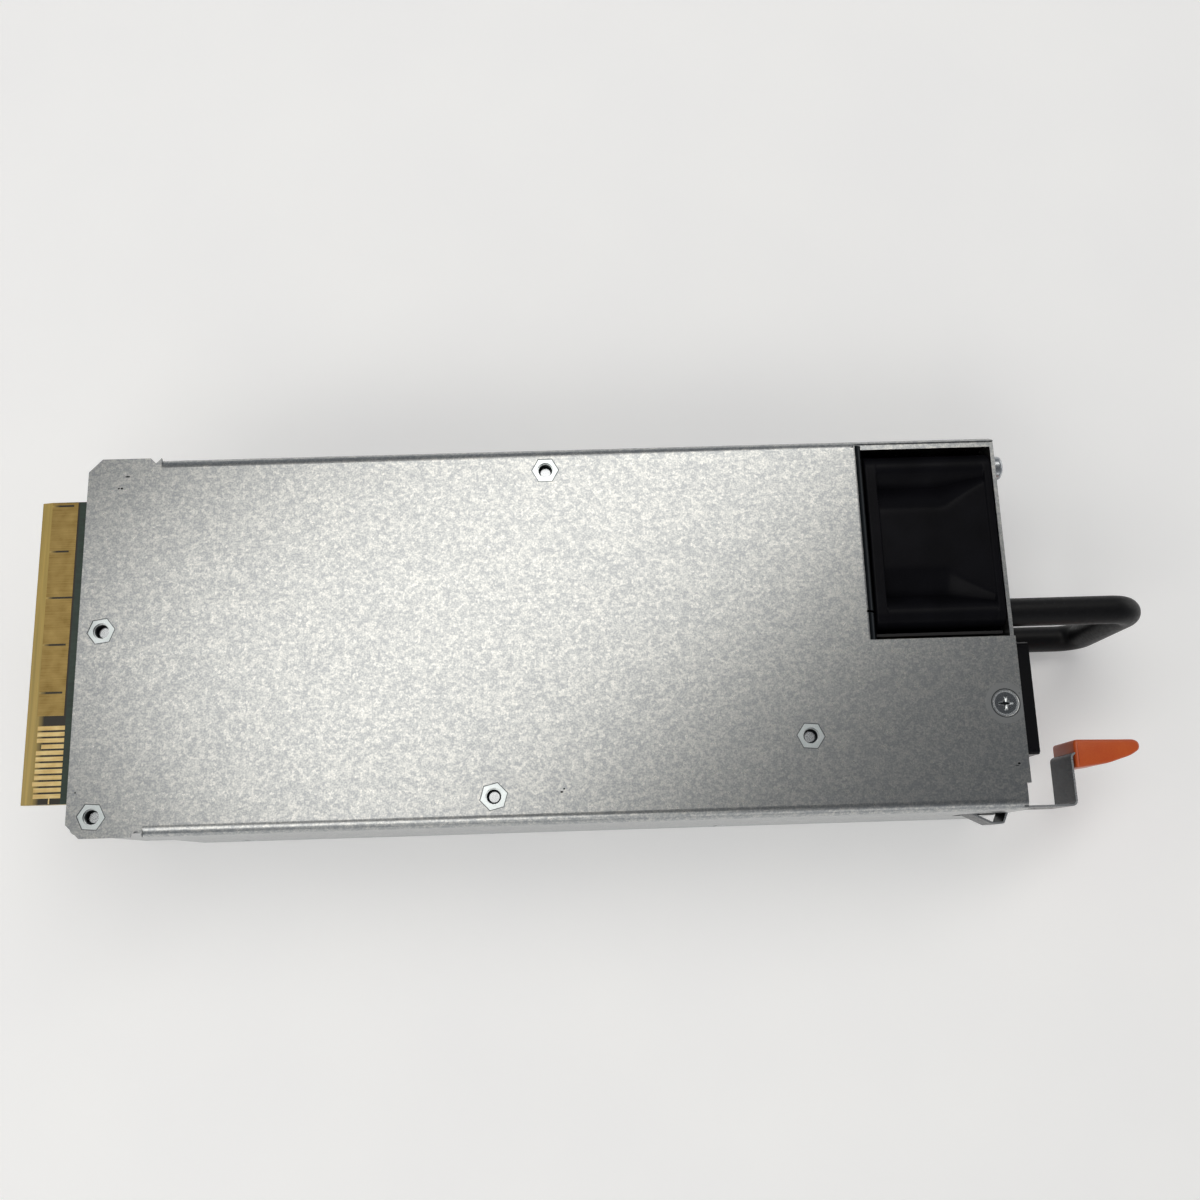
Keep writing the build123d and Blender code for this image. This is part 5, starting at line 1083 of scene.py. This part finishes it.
    def strut_grid(self, turn: float) -> np.ndarray:
        """One strut from the motor base to the bore.

        Its section is the superellipse (a sgn(c) |c|^p, b sgn(s) |s|^p), with c and s the cosine
        and sine round the bar, a and b its half sizes and p its power.

        Args:
            turn: Direction of the strut round the axis.

        Returns:
            Grid of points, shape (rows, columns, 3).
        """
        round_bar = np.linspace(0, 2 * np.pi, self.strut_columns, endpoint=False)
        c, s = np.cos(round_bar), np.sin(round_bar)
        along_x = self.strut_half[0] * np.sign(c) * np.abs(c) ** self.strut_power
        along_x += (self.base_front + self.base_rear) / 2
        wide = self.strut_half[1] * np.sign(s) * np.abs(s) ** self.strut_power
        reach = np.linspace(self.hub - 1.0, self.bore + self.overlap, self.strut_rows)[:, None]
        y = self.axis_y + reach * np.cos(turn) - wide * np.sin(turn)
        z = self.axis_z + reach * np.sin(turn) + wide * np.cos(turn)
        return np.stack([np.repeat(along_x[None], len(reach), axis=0), y, z], axis=-1)

    def blade_grid(self, start: float) -> np.ndarray:
        """One blade, twisted from root to tip.

        Thickness t(c) = 5 T (0.2969 sqrt(c) - 0.126 c - 0.3516 c^2 + 0.2843 c^3 - 0.1036 c^4)
        stands either side of the camber line 4 m c (1 - c). At each radius the chord leans over by
        the blade angle, and the distance round the axis becomes an angle by dividing by the radius.
        Chord and lean are given at the root, with what they gain towards the tip.

        Args:
            start: Direction of the blade round the axis.

        Returns:
            Grid of points, shape (rows, columns, 3).
        """
        c = (1 - np.cos(np.linspace(0, np.pi, self.blade_points))) / 2
        curve = 0.2969 * np.sqrt(c) - 0.126 * c - 0.3516 * c ** 2 + 0.2843 * c ** 3 - 0.1036 * c ** 4
        thick = 5 * self.thickness * curve
        camber = 4 * self.camber * c * (1 - c)
        chordwise = np.concatenate([c, c[-2:0:-1]]) - 0.5
        across = np.concatenate([camber + thick, (camber - thick)[-2:0:-1]])
        share = np.linspace(0, 1, self.blade_rows)[:, None]
        radius = self.hub - 0.5 + share * (self.tip - self.hub + 0.5)
        lean = np.radians(self.lean[0] + self.lean[1] * share)
        chord = self.chord[0] + self.chord[1] * share
        axial = chord * (chordwise * np.cos(lean) - across * np.sin(lean))
        around = chord * (chordwise * np.sin(lean) + across * np.cos(lean))
        angle = start + around / radius + self.sweep * share ** 2
        return self.about(self.blade_x + axial, radius, angle)

    def sleeve_grid(self, sleeve: tuple[float, float, float], root: float) -> np.ndarray:
        """Round sleeve on the axis, from its free end to its root.

        Args:
            sleeve: X of the free end, outer radius and bore radius.
            root: X of the other end, inside what carries it.

        Returns:
            Grid of points, shape (rows, columns, 3).
        """
        end, outside, bore = sleeve
        corners = [(root, bore), (end, bore), (end, outside), (root, outside)]
        return self.lathed(corners, 0.2, 3, self.sleeve_columns)

    def build(self) -> None:
        """Builds the frame and the rotor, and dresses the motor."""
        frame = Skin("fan_housing")
        frame.add(self.frame_grid(), wrap_rows=True)
        base = [(self.base_front, self.tiny), (self.base_front, self.hub), (self.base_rear, self.hub),
                (self.base_rear, self.tiny)]
        frame.add(self.lathed(base, 0.4, 4, self.hub_columns))
        for quarter in range(4):
            frame.add(self.strut_grid(np.pi / 4 + quarter * np.pi / 2))
        frame.add(self.sleeve_grid(self.bearing_tube, self.base_front + self.overlap), wrap_rows=True)
        black = Moulding("black_pbt", "#0B0B0E", "#141418", grain=0.22, depth=0.01, smooth=0.28, rough=0.4,
                         shine=0.05)
        self.paint(frame.piece("case", ("fan_frame",)), black.material())
        rotor = Skin("fan_rotor_moulding")
        back, floor = self.base_front - self.cup_gap, self.hub_x + self.cup_wall
        inside = self.hub - self.cup_wall
        cup = [(self.hub_x, self.tiny), (self.hub_x, self.hub), (back, self.hub), (back, inside),
               (floor, inside), (floor, self.tiny)]
        rotor.add(self.lathed(cup, 1.0, 6, self.hub_columns))
        rotor.add(self.sleeve_grid(self.boss, self.hub_x + self.overlap), wrap_rows=True)
        for index in range(self.blades):
            rotor.add(self.blade_grid(2 * np.pi * index / self.blades))
        grey = Moulding("black_glass_filled_pbt", "#0A0A0C", "#131316", smooth=0.26, rough=0.38, shine=0.14)
        self.paint(rotor.piece("fan_rotor", ("fan_impeller",)), grey.material())
        super().build()


@dataclass
class PrimaryCircuit(Assembly):
    """Components between the mains inlet and the transformer."""

    coats: Coats = (
        (Moulding("shrunk_pvc_sleeve", "#1D2129", "#2C313B", grain=0.4, smooth=0.2, rough=0.34),
         "bulk_capacitors output_capacitors"),
        (WorkedMetal("extruded_aluminium", "#9A9D9F", "#C3C5C6", Across.ALONG_X, 0.5, 0.28, 0.42),
         "primary_heatsink output_heatsink"),
        (Sheeting("silicone_thermal_pad", "#8C9698", "#A6AFB0", fibre=0.6, rough=0.7), "thermal_pads"),
        (Moulding("moulded_epoxy", "#1B1B1D", "#2A2A2C", grain=0.12, smooth=0.42, rough=0.6),
         "primary_transistors bridge_rectifier output_rectifiers control_chips"),
        (Fired("pressed_iron_powder", "#8F8A3A", "#B8B25A", grit=0.3), "boost_choke_core"),
        (Wound("enamelled_wire", "#7A3E1C", "#C4743A", 0.9, "Z", 0.8), "boost_choke_winding"),
        (Wound("wound_choke", "#6E3A1C", "#B56B36", 0.8, "X", 0.6), "filter_chokes"),
        (Moulding("yellow_polyester_case", "#C39A22", "#D8B23C", grain=0.3, smooth=0.28, rough=0.4),
         "filter_capacitors"),
        (Moulding("dipped_blue_epoxy", "#235C92", "#3A7AB4", grain=0.5, smooth=0.2, rough=0.32),
         "disc_capacitors"),
        (Fired("glazed_ceramic_body", "#CFCBBE", "#E4E1D6", grit=0.25, rough=0.3), "fuse"),
        (Moulding("black_relay_case", "#1C1D20", "#2B2C30", grain=0.2), "inrush_relay"),
    )


@dataclass
class OutputCircuit(Assembly):
    """Transformer, output side and control board."""

    coats: Coats = (
        (Fired("sintered_ferrite", "#2B2C2E", "#45464A"), "transformer_core"),
        (Wound("polyester_tape_winding", "#C39A2E", "#E0BC56", 1.6), "transformer_windings"),
        (Wound("taped_coil", "#BF962B", "#DDB74F", 2.0, "X"), "resonant_inductor standby_transformer"),
        (WorkedMetal("bare_copper_bar", "#9A5A36", "#C98760", Across.ALONG_Y, 0.4, 0.24, 0.4),
         "output_busbars"),
        (CircuitBoard("control_board_laminate"), "control_board"),
    )


@dataclass(frozen=True)
class SoftBox:
    """Rectangular soft box, level and turned about Z in radians, or aimed at the object if not turned."""

    name: str
    place: tuple[float, float, float]
    size: tuple[float, float]
    power: float
    turn: float | None = None
    colour: str = "#FFFCF6"

    def axes(self) -> tuple[np.ndarray, np.ndarray, np.ndarray]:
        """Finds the directions of the box's width, its height and its back.

        Returns:
            Three unit vectors; the light leaves against the last.
        """
        if self.turn is not None:
            c, s = np.cos(self.turn), np.sin(self.turn)
            return np.array([c, s, 0.0]), np.array([-s, c, 0.0]), np.array([0.0, 0.0, 1.0])
        back = np.array(self.place) / np.linalg.norm(self.place)
        side = np.cross([0.0, 0.0, 1.0], back)
        side /= np.linalg.norm(side)
        return side, np.cross(back, side), back

    def hang(self) -> None:
        """Hangs the soft box."""
        lamp = bpy.data.lights.new(self.name, "AREA")
        lamp.shape = "RECTANGLE"
        lamp.size, lamp.size_y = self.size[0] * MM, self.size[1] * MM
        lamp.energy = self.power
        lamp.color = linear(self.colour)[:3]
        holder = bpy.data.objects.new(self.name, lamp)
        bpy.context.scene.collection.objects.link(holder)
        columns = np.stack([*self.axes(), np.array(self.place) * MM], axis=1)
        holder.matrix_world = Matrix([*columns.tolist(), [0, 0, 0, 1]])
        LOG.info("hung %s", self.name)


@dataclass
class Studio:
    """Floor, lights and camera."""

    camera_at: tuple[float, float, float] = (7.63, -50.13, 282.53)
    right: tuple[float, float, float] = (0.999494, -0.031122, 0.006593)
    up: tuple[float, float, float] = (0.028839, 0.973882, 0.225214)
    back: tuple[float, float, float] = (-0.01343, -0.224909, 0.974287)
    lens: float = 36.0
    sensor: float = 36.0
    near: float = 0.01
    floor_colour: str = "#EDEDEE"
    floor_light: str = "#F0F0F0"
    floor_mottle: float = 40.0
    world_colour: str = "#EEF2F8"
    softboxes: tuple[SoftBox, ...] = (
        SoftBox("softbox_over", (65.0, 398.0, 900.0), (1151.0, 453.0), 3.6, 0.737),
        SoftBox("softbox_left", (-1100.0, -300.0, 430.0), (1100.0, 860.0), 4.0),
        SoftBox("softbox_right", (1150.0, 480.0, 240.0), (1000.0, 400.0), 1.8),
        SoftBox("softbox_front", (150.0, -1100.0, 420.0), (900.0, 500.0), 0.9),
        SoftBox("softbox_edge", (-330.0, -620.0, 780.0), (800.0, 420.0), 2.4),
    )
    world_light: float = 0.14
    world_low_light: float = 0.34
    world_rise: tuple[float, float] = (0.35, 0.85)
    floor_reach: float = 30.0
    floor_glow: float = 0.2

    def build(self) -> None:
        """Builds the floor, the lamps, the world and the camera."""
        self.lay_floor()
        for box in self.softboxes:
            box.hang()
        self.light_world()
        self.set_camera()

    def lay_floor(self) -> None:
        """Lays a large plain floor at height 0, faintly mottled.

        Camera, glossy and transmission rays see it paler by a set glow, which lights nothing else.
        """
        reach = self.floor_reach
        mesh = bpy.data.meshes.new("studio_floor")
        corners = [(-reach, -reach, 0), (reach, -reach, 0), (reach, reach, 0), (-reach, reach, 0)]
        mesh.from_pydata(corners, [], [(0, 1, 2, 3)])
        floor = bpy.data.objects.new("studio_floor", mesh)
        bpy.context.scene.collection.objects.link(floor)
        surface = Surface("pale_studio_floor", Roughness=0.8)
        mottle = surface.grain(self.floor_mottle)
        colour = surface.tint(mottle, {0.3: self.floor_colour, 0.7: self.floor_light})
        seen = surface.add("ShaderNodeLightPath", out="Is Camera Ray")
        path = seen.node.outputs
        for ray in ("Is Glossy Ray", "Is Transmission Ray"):
            seen = surface.add("ShaderNodeMath", {0: seen, 1: path[ray]}, operation="MAXIMUM")
        glow = surface.add("ShaderNodeMath", {0: seen, 1: self.floor_glow}, operation="MULTIPLY")
        surface.tree.links.new(colour, surface.shader.inputs["Base Color"])
        surface.tree.links.new(glow, surface.shader.inputs["Emission Strength"])
        mesh.materials.append(surface.material)
        LOG.info("laid studio_floor")

    def light_world(self) -> None:
        """Fills in with a grey world that grows lighter towards the horizon.

        The rise is the sine of the height above the horizon where it starts to darken, and where
        it is darkest.
        """
        world = bpy.data.worlds.new("studio_world")
        world.use_nodes = True
        graph = Graph(world.node_tree)
        shade = world.node_tree.nodes["Background"].inputs
        shade["Color"].default_value = linear(self.world_colour)
        sky = graph.add("ShaderNodeTexCoord", out="Generated")
        limits = {
            "Value": graph.add("ShaderNodeSeparateXYZ", {"Vector": sky}, "Z"),
            "From Min": self.world_rise[0], "From Max": self.world_rise[1],
            "To Min": self.world_low_light, "To Max": self.world_light,
        }
        graph.tree.links.new(graph.add("ShaderNodeMapRange", limits), shade["Strength"])
        bpy.context.scene.world = world

    def set_camera(self) -> None:
        """Puts the camera where the photograph was taken from."""
        lens = bpy.data.cameras.new("photo_camera")
        lens.sensor_width, lens.lens, lens.clip_start = self.sensor, self.lens, self.near
        camera = bpy.data.objects.new("photo_camera", lens)
        bpy.context.scene.collection.objects.link(camera)
        place = np.array(self.camera_at) * MM
        columns = np.stack([self.right, self.up, self.back, place], axis=1)
        camera.matrix_world = Matrix([*columns.tolist(), [0, 0, 0, 1]])
        bpy.context.scene.camera = camera
        LOG.info("set photo_camera")


def main() -> None:
    """Loads the frame, builds the sub-assemblies in order, and logs the nodes with no finish."""
    logging.basicConfig(level=logging.INFO, format="%(message)s")
    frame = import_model()
    nodes = frame["nodes"]
    for assembly in (Case, CardEdge, LoopHandle, Latch, MainsInlet, StatusLight, Fan, PrimaryCircuit,
                     OutputCircuit):
        assembly(nodes).build()
    Studio().build()
    bpy.context.scene.view_settings.view_transform = "Standard"
    bare = [name for name, shape in nodes.items() if not shape.data.materials]
    LOG.info("nodes with no finish: %s", bare)


if __name__ == "__main__":
    main()
